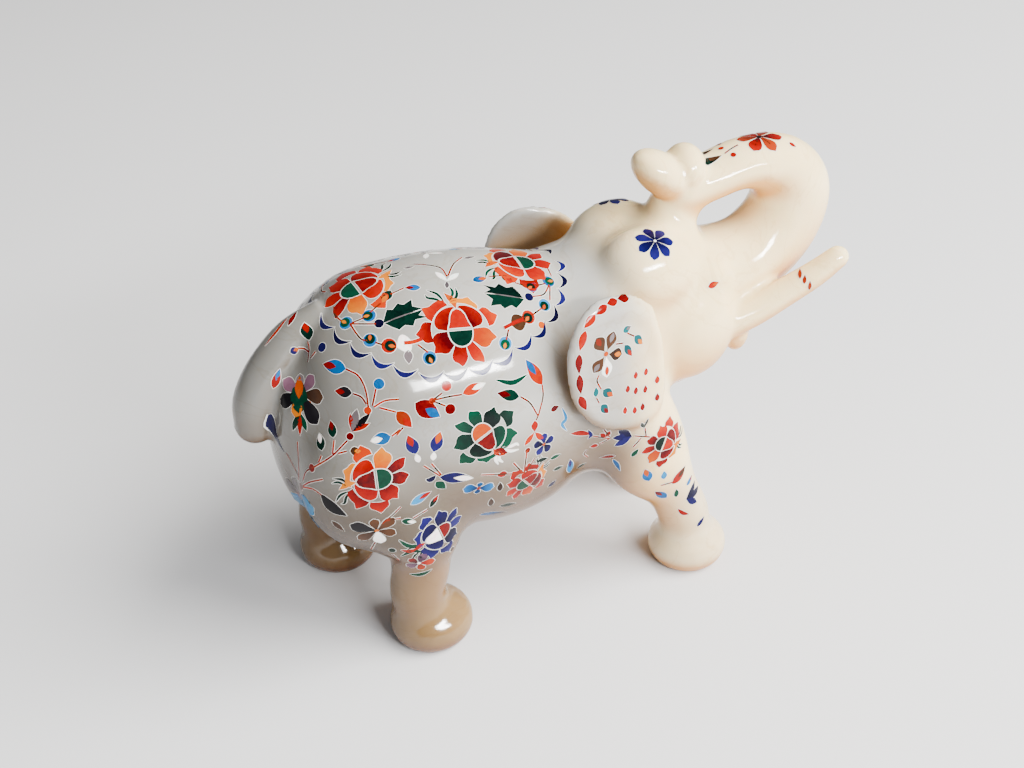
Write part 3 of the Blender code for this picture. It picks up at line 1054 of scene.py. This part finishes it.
def almond(length, width, widest=0.5, start=0.0):
    """A leaf or bud, pointed at both ends."""
    power = math.log(0.5) / math.log(widest)
    edge = []
    for side in (1, -1):
        for t in np.linspace(0, 1, ALMOND_STEPS)[:-1]:
            t = t if side > 0 else 1 - t
            edge.append((side * width / 2 * math.sin(math.pi * t**power), start + length * t))
    return edge


def disc(radius, middle=(0, 0)):
    turns = np.arange(DISC_STEPS) * math.tau / DISC_STEPS
    return [(middle[0] + radius * math.cos(a), middle[1] + radius * math.sin(a)) for a in turns]


def fan(start, end, inner, outer, steps):
    """The shape between two bounds, each a distance for every turn in degrees, clockwise from up."""
    edge = []
    turns = np.linspace(start, end, steps)
    for bound, order in ((outer, turns), (inner, turns[::-1])):
        for turn in order:
            way = math.radians(turn)
            edge.append((bound(turn) * math.sin(way), bound(turn) * math.cos(way)))
    return edge


def petal(start, end, inner, body, tip, tip_turn):
    """A rounded petal with a pointed tip."""

    def outer(turn):
        across = abs(2 * (turn - start) / (end - start) - 1)
        root = inner(turn)
        full = (1 - min(1, across) ** PETAL_SQUARENESS) ** PETAL_FULLNESS
        point = max(0.0, 1 - abs(turn - tip_turn) / PETAL_POINT) ** POINT_HOLLOW
        return root + (body - root) * full + (tip - body) * point

    return fan(start, end, inner, outer, PETAL_STEPS)


def stroke(points, width):
    """A curved stroke, widest in the middle and pointed at its ends."""
    curve = through(points, STROKE_STEPS)
    along = np.gradient(curve, axis=0)
    across = np.column_stack((along[:, 1], -along[:, 0])) / np.linalg.norm(along, axis=1)[:, None]
    swell = width / 2 * np.sin(np.linspace(STROKE_STARTS, 1, len(curve)) * math.pi * STROKE_ENDS)[:, None]
    return list(curve + across * swell) + list((curve - across * swell)[::-1])


# Motifs


def drop(turn):
    """The edge of the drop at a rose's heart, as a share of the rose's radius."""
    up = math.cos(math.radians(turn))
    return DROP_RADIUS + DROP_POINT * max(0.0, up) ** 7 + DROP_FOOT * max(0.0, -up) ** 2


def rose(at, tip, radius, petals=WARM_PETALS, hearts=("malachite", "coral", "amber"), sepals="malachite"):
    """A rose: ten petals round a drop of a gem and a wedge, with a spike and four curled sepals at its tip."""
    on = sheet(at, tip)
    radius *= MM

    def shade(u, v):
        return min(1.0, math.hypot(u, v) / radius) ** ROSE_SHADE

    for k, (start, end, ring, body, point, point_turn) in enumerate(ROSE_PETALS):
        if ring:
            inner = lambda a: ring * radius
        else:
            inner = lambda a: (drop(a) + DROP_GAP) * radius
        turns = start - PETAL_OVERLAP, end + PETAL_OVERLAP
        outline = petal(*turns, inner, body * radius, point * radius, point_turn)
        on.lay(petals[k % len(petals)], outline, shade=shade)
    gem, wedge, spike = hearts
    for stone, (start, end) in ((gem, GEM_TURNS), (wedge, WEDGE_TURNS)):
        outline = fan(start, end, lambda a: 0.0, lambda a: GEM_SHARE * drop(a) * radius, GEM_POINTS)
        on.lay(stone, outline[:GEM_POINTS])
    on.lay(spike, [(u * radius, v * radius) for u, v in ROSE_SPIKE], shade=lambda u, v: SPIKE_SHADE)
    for points in ROSE_SEPALS:
        on.lay(sepals, stroke(np.array(points) * radius, SEPAL_WIDTH * radius))


def bud(base, tip, width, outer, inner=None, layer=1, ahead=0.0):
    """An almond, with a slip of another stone in it from its tip down."""
    on = sheet(base, tip, ahead)
    on.lay(outer, almond(on.length, width * PIXEL, BUD_WIDEST), layer)
    if inner:
        length = on.length * BUD_HEART
        heart = almond(length * BUD_HEART_SHORT, width * BUD_HEART_WIDTH * PIXEL, start=on.length - length)
        on.lay(inner, heart, layer + 1)


def dot(at, tip, radius, stone):
    """A round slip."""
    on = sheet(at, tip)
    on.lay(stone, disc(radius * PIXEL))
    return on


def bead(at, tip, radius, ring="turquoise"):
    """A round bead, ringed, with a wedge towards its tip."""
    on = dot(at, tip, radius, ring)
    radius *= PIXEL
    on.lay("malachite", disc(BEAD_HEART * radius, (0, BEAD_HEART_UP * radius)), 2)
    wedge = almond(BEAD_WEDGE_LENGTH * radius, BEAD_WEDGE_WIDTH * radius, start=BEAD_WEDGE_STARTS * radius)
    on.lay("amber", wedge, 3)


def stem(pixels, stones=("rust", "walnut", "rust"), width=0.85, ahead=0.0):
    """A thin stem through some pixels, each stone taking its share of the way."""
    places = [carving.seen(tuple(p)) for p in through(pixels, STEM_STEPS)]
    curve = np.array([point for point, _ in places])
    curve[1:-1] += (curve[:-2] + curve[2:] - 2 * curve[1:-1]) / 4
    along = np.gradient(curve, axis=0)
    paired = carving.paired(Vector(curve.mean(axis=0)))
    cuts = np.linspace(0, len(curve) - 1, len(stones) + 1).astype(int)
    runs = [("lime", 0, cuts[-1], 0)] + [(stone, a, b, 2) for stone, a, b in zip(stones, cuts, cuts[1:])]
    for stone, first, last, layer in runs:
        half = width * MM / 2 + (0 if layer else LIME_EDGE)
        rows = []
        for k in range(first, last + 1):
            side = Vector(along[k]).normalized().cross(places[k][1]) * half
            rows += [carving.nearest(Vector(curve[k]) - side), carving.nearest(Vector(curve[k]) + side)]
        faces = [(2 * k, 2 * k + 1, 2 * k + 3, 2 * k + 2) for k in range(last - first)]
        carving.cut(stone, rows, faces, paired, layer=layer, ahead=ahead)


def flower(at, top, petals, spread=0.92, heart="shell", line=None, hollow=0.12):
    """An open flower: a stone and a reach for each petal, clockwise from up."""
    on = sheet(at, top)
    radius = on.length
    step = 360 / len(petals)
    for k, (stone, reach) in enumerate(petals):
        middle = k * step
        start, end = middle - step / 2 * spread, middle + step / 2 * spread
        tip = reach * radius
        outline = petal(start, end, lambda a: hollow * radius, FLOWER_BODY * tip, tip, middle)
        on.lay(stone, outline, shade=lambda u, v: math.hypot(u, v) / radius)
        if line:
            way = math.radians(middle)
            cos, sin = math.cos(way), math.sin(way)
            bar = almond(LINE_LENGTH * radius, LINE_WIDTH * radius, start=LINE_STARTS * radius)
            on.lay(line, [(u * cos + v * sin, v * cos - u * sin) for u, v in bar], 2)
    on.lay(heart, disc(hollow * radius), 2)


def lobed_leaf(base, tip):
    """A dark leaf of two barbed halves, with a fine spine between them."""
    on = sheet(base, tip)
    length = on.length
    for outline in LEAF_HALVES:
        on.lay("malachite", [(u * length, v * length) for u, v in outline], shade=lambda u, v: LEAF_SHADE)
    spine = almond(LEAF_SPINE_LENGTH * length, LEAF_SPINE_WIDTH * length, start=LEAF_SPINE_STARTS * length)
    on.lay("smoke", spine, 2)


def sprig(base, tip, arms):
    """Almonds from one base, each with a stone, a turn from the tip, a share of its length and a width."""
    middle = sheet(base, tip)
    for stone, turn, share, width in arms:
        way = math.radians(turn)
        towards = middle.point + (middle.up * math.cos(way) + middle.right * math.sin(way)) * middle.length
        arm = Sheet((middle.point, middle.normal), towards)
        arm.lay(stone, almond(arm.length * share, width * PIXEL, SPRIG_WIDEST))


def ribbon(pixels, width, stone, alone=False):
    """A curved leaf through some pixels, pointed at its ends. One alone has no twin on the left side."""
    points = [carving.seen(p) for p in pixels]
    middle = points[len(points) // 2]
    on = Sheet(middle, points[-1][0])
    on.paired = on.paired and not alone
    flat = [((p - on.point).dot(on.right), (p - on.point).dot(on.up)) for p, _ in points]
    on.lay(stone, stroke(flat, width * PIXEL))


def strew(buds=(), ribbons=(), dots=(), stems=()):
    """Lays the small motifs of one area."""
    for motif in buds:
        bud(*motif)
    for motif in ribbons:
        ribbon(*motif)
    for at, radius, stone in dots:
        dot(at, (at[0], at[1] - 5), radius, stone)
    for points in stems:
        stem(points)


# The layout: pixels of the photograph, widths in pixels


def saddle():
    """The scalloped edge over the back, and what it holds."""
    outline = [carving.seen(p)[0] for p in SCALLOPS]
    outline = [outline[0] * 2 - outline[1]] + outline + [outline[-1] * 2 - outline[-2]]
    for before, here, after in zip(outline, outline[1:], outline[2:]):
        on = Sheet(carving.nearest(here), after)
        half = (after - before).length / 4
        rows = np.linspace(-SCALLOP_REACH, SCALLOP_REACH, SCALLOP_ROWS)
        edge = []
        for side, order in ((1, rows), (-1, rows[::-1])):
            thick = side * SCALLOP_WIDTH / 2
            edge += [(thick * (1 - t * t) - SCALLOP_DEPTH * t * t, half * t) for t in order]
        on.lay("lapis", edge)

    rose((460.5, 331), (457, 313), 19)
    rose((355, 288), (380, 278), 19)
    rose((520, 262), (500, 262), 19)
    for at, tip in SADDLE_BEADS:
        bead(at, tip, 6.5)
    strew(SADDLE_BUDS)
    lobed_leaf((383, 323.4), (422.8, 308.8))
    lobed_leaf((524.5, 299), (484, 293))
    dot((379, 323.4), (373, 325), 4.5, "lapis")
    dot((529, 297), (534, 295), 4.5, "lapis")
    dot((541.4, 325), (546, 322), 3.5, "amber")
    for heart, ring, tail, body, streak in SADDLE_BIRDS:
        bud(heart, tail, 17, body)
        bead(ring, tail, 7, "coral")
        stem(streak, ("coral",), 1.7)
    strew(SMOKY_BUDS)
    sprig((447, 281), (447, 270), (("shell", -42, 1.0, 5), ("shell", 42, 1.0, 5), ("smoke", 180, 0.6, 4)))
    strew(stems=SADDLE_STEMS)


def rump():
    """The rear of the near side, above the thigh."""
    rose((378, 479.5), (359.5, 482), 17)
    flower((301, 394), (300, 367), SMOKY_PETALS, heart="walnut", spread=1.0)
    bud((299.6, 414), (300, 376), 19, "malachite", "amber", layer=2)
    sprig((300, 412), (300, 432), SMOKY_LEAVES)
    strew(ribbons=RUMP_RIBBONS)
    for points, width, stone in TAIL_RIBBONS:
        ribbon(points, width, stone, alone=True)
    strew(RUMP_BUDS, dots=RUMP_DOTS)
    flower((299.5, 495), (314, 508), SKY_PETALS, heart="rust", spread=0.8)
    sprig((352, 432), (350, 411), TRIDENT)
    for points in RUMP_STEMS:
        stem(points, ("coral", "rust"))


def thigh():
    """The near hind leg."""
    flower((376.8, 530.5), (373.3, 519), BROWN_PETALS, heart="amber")
    flower((419, 563), (435, 560), PINK_PETALS)
    strew(THIGH_BUDS, THIGH_RIBBONS, THIGH_DOTS, THIGH_STEMS)


def flank():
    """The middle of the near side, below the saddle."""
    rose((483.3, 435), (491, 446), 16.5, ("malachite",), ("amber", "coral", "coral"), "shell")
    rose((441.5, 532), (431.5, 539), 15, ("lapis",), ("coral", "shell", "coral"))
    rose((525.4, 483.2), (536, 474), 13)
    flower((543.8, 444.2), (544, 433), (("lapis", 1.0),) * 5, heart="amber")
    flower((478.7, 488), (463, 489), BLUE_PETALS, heart="rust", spread=0.85)
    sprig((534.6, 432), (534.6, 419), FLANK_LEAVES)
    strew(FLANK_BUDS, FLANK_RIBBONS, FLANK_DOTS, FLANK_STEMS)


def foreleg():
    """The near shoulder and foreleg."""
    rose((663, 444), (672.4, 444.5), 13.5)
    sprig((632, 436), (612, 438), (("lapis", -34, 0.95, 9), ("lapis", 0, 1.0, 8), ("lapis", 32, 0.95, 9)))
    sprig((686, 499), (697, 487), (("lapis", -32, 1.0, 8), ("lapis", 4, 1.1, 8), ("lapis", 46, 0.9, 8)))
    sprig((606, 437), (605, 431), (("coral", -35, 1.0, 5), ("coral", 35, 1.0, 5)))
    sprig((644.2, 428), (644.6, 420), (("malachite", -22, 1.0, 4), ("malachite", 22, 1.0, 4)))
    strew(FORELEG_BUDS, FORELEG_RIBBONS, stems=FORELEG_STEMS)


def ears():
    """The rims and middles of both ears."""
    for base, tip in EAR_SPINDLES:
        bud(base, tip, 8, "coral", ahead=EAR_AHEAD)
    centre = sheet((606, 354), (613.5, 332), EAR_AHEAD)
    for tip, width, stone, inner in EAR_PETALS:
        arm = Sheet((centre.point, centre.normal), carving.seen(tip)[0], EAR_AHEAD)
        root = EAR_PETAL_ROOT * arm.length
        arm.lay(stone, almond(arm.length - root, width * PIXEL, EAR_PETAL_WIDEST, start=root))
        heart = almond(EAR_HEART_LENGTH * arm.length, EAR_HEART_WIDTH * width * PIXEL, start=arm.length / 2)
        arm.lay(inner, heart, 2)
    centre.lay("amber", disc(EAR_CENTRE_RADIUS * PIXEL), 2)
    for motif in EAR_BUDS:
        bud(*motif, ahead=EAR_AHEAD)
    for points in EAR_STEMS:
        stem(points, ahead=EAR_AHEAD)
    for at in EAR_DOTS:
        base, tip = (at[0], at[1] + EAR_DOT_HALF), (at[0], at[1] - EAR_DOT_HALF)
        bud(base, tip, 6, "coral", ahead=EAR_AHEAD)


def head():
    """The dome's flower, the eye, the trunk's top and the bands of the tusks."""
    flower((655, 241), (673, 242), (("lapis", 1.0),) * 7, heart="shell", spread=1.0, hollow=0.07)
    bud((708, 287), (719, 282), 7, "coral", "amber")
    flower((759, 137), (782, 137), (("coral", 1.0), ("rust", 0.95)) * 3, heart="jet", line="walnut")
    for at in ((721, 148.3), (733.3, 154.8)):
        dot(at, (at[0] + 3, at[1]), 3, "coral")
    bud((705, 163.8), (720, 156), 7, "malachite", "walnut")
    stem(((724.8, 153.6), (731, 149), (738, 145)))
    bud((795, 134), (805, 138), 5, "coral")
    for at, tip in TUSK_DASHES:
        bud(at, tip, 4, "rust")


SCALLOPS = (
    (323, 326), (338, 341), (357, 355), (380, 366), (404, 375), (432, 380), (457, 378), (484, 372),
    (507, 362), (527, 347), (543, 334), (556, 317), (563, 299), (565, 281), (563, 266),
)
SADDLE_BEADS = (
    ((346, 323), (340, 320)), ((369, 315.7), (363, 317)), ((370, 340.2), (370, 334)),
    ((429.6, 357.8), (432, 363)), ((505.4, 343.3), (504, 350)), ((544.4, 305), (543, 311)),
    ((548.3, 281.3), (554, 281)), ((531.4, 286.6), (527, 290)),
)
SADDLE_BUDS = (
    ((420.5, 287.4), (404.4, 288), 8, "turquoise", "coral"),
    ((390.6, 290.5), (382, 303), 10, "malachite", "amber"),
    ((472.5, 280.5), (487, 278), 8, "turquoise", "amber"),
    ((500.8, 275.9), (514, 283), 8, "malachite", "coral"),
)
SMOKY_BUDS = (
    ((408, 350), (409, 364), 8, "smoke"), ((404, 268.5), (414, 266.5), 4, "smoke"),
    ((464, 258.6), (475, 256.6), 4, "smoke"),
)
SADDLE_BIRDS = (
    ((411, 341), (389, 345.6), (397, 347), "shell", ((404, 343), (413, 342), (422, 339))),
    ((511, 325), (528.4, 317), (527, 319), "walnut", ((504, 328), (516, 322), (528, 318))),
)
SADDLE_STEMS = (
    ((447, 276.7), (441, 268.3), (427, 265.2), (414, 264.4)), ((448, 276), (453.4, 264.4), (462, 257.5)),
    ((369, 313.4), (380.7, 303.5)), ((390.6, 294.3), (403.6, 288.2)), ((489, 276.7), (500.8, 275.9)),
    ((514.6, 282.8), (526.8, 286.6)), ((536, 286), (545, 283.6)),
    ((549, 285), (543.7, 294.3), (533, 296.6)), ((549.8, 286.6), (549.8, 300.4)),
    ((547.5, 268.3), (551.3, 276)), ((542, 308), (531.4, 315.7)), ((508.5, 329.5), (506.2, 340.2)),
    ((375.3, 342.5), (385.3, 345.6)), ((418, 344.8), (428, 352.5)), ((334, 307), (335, 315), (343, 322)),
    ((350, 324), (376, 324)), ((350, 324), (360, 338), (367, 341)), ((352, 323), (364, 318)),
)

SMOKY_PETALS = (
    ("smoke", 0.75), ("mauve", 0.95), ("walnut", 1.1), ("jet", 1.3), ("amber", 0.9), ("jet", 1.1),
    ("mauve", 1.0),
)
SMOKY_LEAVES = (("malachite", -24, 1.0, 6), ("malachite", 24, 1.1, 6), ("coral", 0, 1.2, 5))
SKY_PETALS = (("turquoise", 1.0),) * 3 + (("smoke", 0.6),) * 2
RUMP_RIBBONS = (
    (((321.6, 494.7), (332, 507), (346.8, 515.7)), 13, "jet"),
    (((270, 414), (275, 433), (284.2, 452)), 9, "lapis"),
)
TAIL_RIBBONS = (
    (((297, 312), (292, 319), (288, 326)), 5, "coral"),
    (((288, 318), (277, 331), (265, 346)), 3.2, "coral"),
)
RUMP_BUDS = (
    ((309.4, 340.3), (304.5, 322.8), 10, "malachite", "coral"),
    ((290, 352.5), (299, 348.5), 8, "lapis", "amber"),
    ((273, 388.7), (280, 368.4), 8, "coral", "turquoise"),
    ((346, 369), (322.8, 364), 13, "turquoise", "coral"),
    ((352, 393), (334.7, 390.8), 10, "jet", "coral"),
    ((333.3, 437.8), (330.5, 420.3), 9, "malachite", "coral"),
    ((322, 450.5), (319.3, 433), 10, "malachite", "shell"),
    ((350, 451), (361, 451), 8, "walnut", "amber"),
    ((390.8, 436.4), (370.5, 441.3), 12, "turquoise", "shell"),
    ((396.7, 411.4), (412, 427.5), 12, "rust", "coral"),
)
RUMP_DOTS = (
    ((322, 347.3), 4.5, "lapis"), ((379, 383.8), 5, "turquoise"), ((367.7, 410.5), 3.5, "coral"),
    ((350, 436.4), 3.5, "coral"), ((311.7, 468), 4, "coral"), ((301.2, 486.3), 4, "coral"),
    ((309.4, 404), 3, "amber"),
)
TRIDENT = (
    ("smoke", 18, 1.15, 8), ("coral", 0, 0.9, 4.5), ("coral", 66, 1.0, 4.5), ("jet", 48, 1.3, 6),
)
RUMP_STEMS = (
    ((308, 362), (309.4, 349.4), (308, 341.7)), ((309.4, 352.3), (304.5, 348.7), (298.2, 348)),
    ((310.8, 357.9), (315.8, 351.5)), ((346, 369), (358.6, 376), (365.6, 390), (368.4, 407)),
    ((353, 393.6), (361.4, 397), (366.3, 404)), ((376, 388.7), (372.6, 405.6)),
    ((374, 407), (385, 400.7), (399, 399.3)), ((379.6, 407.7), (396, 412)),
    ((347.3, 440.6), (332.8, 455.4), (317.4, 465.2), (311.7, 468)), ((392, 436), (400, 429.4)),
    ((402.9, 427.5), (396.7, 435)), ((318.8, 462.4), (321.6, 455.4)), ((332.8, 454), (334.2, 440)),
    ((338.4, 453.3), (346.8, 451.2)), ((299, 480), (299, 466.6), (297.7, 441.4)),
    ((299, 478), (296.3, 470.8), (286.5, 452.6)), ((303, 481), (306, 472), (311.7, 468)),
    ((303, 486), (310.3, 482), (323, 479.3)), ((303, 487), (313, 489), (321.6, 494.7)),
)

PINK_PETALS = (("coral", 1.0), ("rust", 0.8), ("mauve", 0.9), ("coral", 0.8), ("mauve", 1.0))
BROWN_PETALS = (
    ("walnut", 1.0), ("walnut", 1.25), ("walnut", 1.1), ("shell", 1.2), ("walnut", 1.3), ("jet", 1.5),
)
THIGH_BUDS = (
    ((332, 520.7), (344.5, 531.2), 7, "walnut"),
    ((410.5, 504.6), (431.5, 491.2), 9, "turquoise", "coral"),
    ((401.4, 520.7), (416, 522), 7, "malachite", "shell"),
    ((430, 507.4), (438.5, 494.7), 6, "malachite", "coral"), ((456, 545), (463, 534.7), 6, "walnut"),
)
THIGH_RIBBONS = (
    (((401, 556), (412, 551), (424, 552)), 5, "malachite"),
    (((410, 574), (422, 574), (432, 569)), 5, "malachite"),
)
THIGH_DOTS = (((392.3, 550.2), 3.5, "malachite"), ((452, 549), 3, "walnut"))
THIGH_STEMS = (
    ((375.4, 541.7), (371.2, 548.8)), ((382.4, 523.5), (392.3, 515), (400.7, 506.7)),
    ((385, 520.7), (400.7, 518)), ((413.3, 518), (427.3, 509.5)), ((392.3, 554), (399, 560)),
)

BLUE_PETALS = (("turquoise", 1.0), ("turquoise", 0.5)) * 2
FLANK_LEAVES = (("coral", 0, 0.9, 8), ("coral", 138, 1.2, 6), ("coral", -138, 1.2, 6))
FLANK_BUDS = (
    ((462.6, 393.8), (485.5, 383), 10, "coral", "shell"),
    ((415, 403), (440.4, 416.7), 17, "coral", "turquoise"),
    ((542.2, 384.6), (525.3, 359.3), 13, "coral", "turquoise"),
    ((519.2, 396.8), (497, 393), 11, "malachite", "coral"), ((550.6, 410.6), (559, 406), 6, "coral"),
    ((416, 454), (407.6, 435), 12, "lapis", "coral"),
    ((433.6, 451.8), (440.5, 431.2), 12, "lapis", "amber"),
    ((439.7, 477), (473.4, 478), 13, "lapis", "shell"), ((436, 481.7), (445.8, 488.6), 9, "malachite"),
    ((507, 472.5), (497, 476), 8, "coral"), ((569.8, 472), (569.8, 459), 9, "turquoise", "lapis"),
    ((548, 487), (556, 480), 8, "lapis"), ((500, 491), (500, 482), 6, "walnut"),
    ((499.4, 506), (516, 503), 7, "malachite"), ((491, 506), (491, 498), 6, "walnut"),
    ((479.5, 514.6), (507, 511.5), 8, "turquoise", "lapis"), ((537, 461), (548, 458), 5, "malachite"),
    ((550, 459), (561, 454), 5, "malachite"), ((553, 470), (563, 466), 5, "malachite"),
    ((577, 468), (586, 463), 5, "malachite"), ((419, 462), (416, 454), 5, "shell"),
    ((433, 460), (434, 452), 5, "shell"), ((494, 450), (508, 453), 8, "coral"),
)
FLANK_RIBBONS = (
    (((496, 380), (513, 382.5), (528, 374)), 5, "malachite"),
    (((562, 408), (565.9, 418.3), (562, 424.4), (567, 431)), 4.5, "turquoise"),
    (((426, 479.4), (431, 479.5), (436, 475)), 6, "lapis"),
    (((399, 540), (409, 546), (421, 545)), 5, "malachite"),
    (((401, 550), (411, 551), (421, 547)), 5, "coral"),
)
FLANK_DOTS = (
    ((446.5, 386), 4.8, "coral"), ((450.3, 409), 5, "coral"), ((432, 400.7), 3, "coral"),
    ((527.7, 450.3), 3, "rust"), ((523.9, 474.8), 3, "rust"),
)
FLANK_STEMS = (
    ((432, 400.7), (442, 393)), ((432, 400.7), (447, 397), (461.8, 394.5)), ((432, 400.7), (445.7, 406)),
    ((542, 384.6), (542.9, 396.8), (538.3, 415.2)), ((520.7, 396.8), (530, 403), (537.6, 415.2)),
    ((423.6, 465.6), (439.7, 475.6)), ((431.3, 463.3), (441.2, 474.8)),
    ((481, 474.8), (501, 474), (522.4, 473.3)), ((523, 473), (513.2, 462.6)),
    ((524, 473), (526.9, 450.3)), ((525, 474), (534.6, 458)), ((538.3, 415.2), (536, 420)),
)

FORELEG_BUDS = (
    ((590.6, 434.3), (570.2, 433.8), 6, "coral"), ((598.3, 445), (589.6, 447), 6, "coral"),
    ((615.6, 455.7), (599.3, 457.8), 5, "coral"), ((631.4, 456.7), (638.6, 448.6), 6, "malachite"),
    ((649, 481), (645, 469), 11, "turquoise", "amber"), ((664, 479), (664, 471), 7, "turquoise"),
    ((672, 484), (685, 466), 12, "coral", "walnut"),
    ((686.5, 485.3), (691.6, 475), 6, "turquoise", "coral"),
    ((666.6, 497.6), (654.9, 491.4), 10, "turquoise", "coral"),
    ((676.3, 497), (676.3, 489), 6, "malachite"), ((696.7, 526.6), (704, 516), 6, "lapis"),
)
FORELEG_RIBBONS = (
    (((613, 459.3), (616.6, 463.9), (620.2, 471)), 5, "turquoise"),
    (((678, 509), (683, 513), (689, 514)), 5, "coral"),
    (((588, 430), (591, 435), (588, 439)), 4, "lapis"),
)
FORELEG_STEMS = (
    ((603.9, 429.2), (609.5, 436.8)), ((592.7, 435.8), (609, 438.4)), ((599.8, 443.5), (610, 438.4)),
    ((587, 449.6), (584, 453.7), (587.6, 456.7)), ((634.5, 435.8), (649.8, 436.8)),
    ((661, 485.3), (672.2, 482.2)), ((645, 428), (646, 436)), ((633, 447), (641, 438)),
)

EAR_SPINDLES = (
    ((629, 298), (617, 299)), ((617.5, 300.5), (606.5, 304)), ((607, 305), (596, 315)),
    ((595.5, 314.5), (584, 328.5)), ((585.5, 330.5), (579.5, 351.5)), ((579, 354), (579, 374)),
    ((579, 374.5), (581, 394.5)), ((579.5, 396), (586.5, 410.5)),
)
EAR_PETAL_ROOT = 0.12
EAR_PETAL_WIDEST = 0.62
EAR_HEART_LENGTH = 0.45
EAR_HEART_WIDTH = 0.4
EAR_CENTRE_RADIUS = 2.6
EAR_DOT_HALF = 4
EAR_PETALS = (
    ((614, 331), 13, "walnut", "smoke"), ((596, 338), 14, "walnut", "rust"),
    ((593, 373), 14, "walnut", "smoke"), ((622, 354), 13, "walnut", "amber"),
    ((607, 377), 12, "shell", "coral"),
)
EAR_BUDS = (
    ((623, 332), (631, 326), 7, "teal", "smoke"), ((634.5, 336), (642.5, 344), 9, "teal", "amber"),
    ((624.5, 345), (632, 356), 8, "teal", "coral"), ((596, 397), (596, 387), 6, "teal"),
    ((603, 390), (613, 396), 10, "teal", "amber"), ((601, 405), (608.5, 413), 9, "teal", "coral"),
)
EAR_STEMS = (
    ((627, 333), (634, 336)), ((616, 344), (623, 343)), ((599, 375), (597, 381), (601, 389)),
    ((596.5, 398), (599, 403)),
)
EAR_DOTS = (
    (635.7, 375), (645.9, 371.5), (657.2, 379.5), (627.7, 388.8), (635.8, 390.5), (645.2, 389),
    (657.2, 397), (625.1, 410.3), (634.7, 410), (642.5, 406.6),
)
TUSK_DASHES = (((800, 279), (800, 269)), ((804, 284), (805, 275)), ((809, 290), (810, 281)))


# The marble


def elephant_marble():
    mesh = carve_trim(carve_head(carve_body()))
    cut_soles(mesh)
    points = np.array([v.co for v in mesh.vertices])
    middle = (points.min(axis=0) + points.max(axis=0)) / 2
    low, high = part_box("elephant")
    shift = (low + high) / 2 - Vector(middle)
    shift.z = 0
    mesh.transform(Matrix.Translation(shift))
    mesh.materials.clear()
    mesh.materials.append(white_marble())
    mesh.shade_smooth()
    mesh.name = "elephant_marble"
    marble = placed("elephant_marble", mesh)
    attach(marble, "root")
    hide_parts("elephant")
    return marble, shift


# Camera, light and floor


def camera_axes():
    """The camera's right, up and back directions."""
    lift, behind = math.radians(CAMERA_ELEVATION), math.radians(CAMERA_BEHIND)
    back = Vector((-math.sin(behind) * math.cos(lift), -math.cos(behind) * math.cos(lift), math.sin(lift)))
    right = Vector((math.cos(behind), -math.sin(behind), 0))
    return right, back.cross(right), back


def camera_place(shift):
    return Vector(CAMERA_TARGET) + shift + camera_axes()[2] * CAMERA_DISTANCE


def add_camera(shift):
    right, up, back = camera_axes()
    data = bpy.data.cameras.new("camera")
    data.sensor_width = SENSOR_WIDTH * 1000
    data.lens = FOCAL_PIXELS / PHOTO_SIZE[0] * SENSOR_WIDTH * 1000
    data.clip_start = 0.01
    camera = placed("camera", data)
    camera.location = camera_place(shift)
    camera.rotation_euler = Matrix((right, up, back)).transposed().to_euler()
    bpy.context.scene.camera = camera


def add_light(name, towards, distance, size, power, colour, lights, mirrored):
    """A soft rectangular light, that way from the statue and facing it."""
    direction = Vector(towards).normalized()
    data = bpy.data.lights.new(name, "AREA")
    data.shape = "RECTANGLE"
    data.size, data.size_y = size
    data.energy = power
    data.color = colour
    light = placed(name, data)
    light.location = Vector(LIGHTS_AIM) + direction * distance
    light.rotation_euler = direction.to_track_quat("Z", "Y").to_euler()
    light.visible_diffuse = lights
    light.visible_glossy = mirrored


def add_floor():
    bm = bmesh.new()
    bmesh.ops.create_grid(bm, x_segments=1, y_segments=1, size=FLOOR_SIZE)
    mesh = bpy.data.meshes.new("floor")
    bm.to_mesh(mesh)
    bm.free()
    nodes = Nodes("pale_floor", Roughness=0.8, Specular_IOR_Level=0.1)
    nodes.link(nodes.ramp(nodes.noise(3), FLOOR_STOPS), "Base Color")
    mesh.materials.append(nodes.material)
    floor = placed("floor", mesh)
    floor.location.z = -FLOOR_DROP


def add_world():
    world = bpy.data.worlds.new("studio")
    world.use_nodes = True
    background = world.node_tree.nodes["Background"]
    background.inputs["Color"].default_value = (*WHITE, 1)
    background.inputs["Strength"].default_value = WORLD_LIGHT
    bpy.context.scene.world = world


marble, shift = elephant_marble()
carving = Carving(marble.data, shift)
saddle()
rump()
thigh()
flank()
foreleg()
ears()
head()
for name, slips in carving.slips.items():
    slips.build(name)
add_camera(shift)
add_floor()
add_world()
for light in LIGHTS:
    add_light(*light)
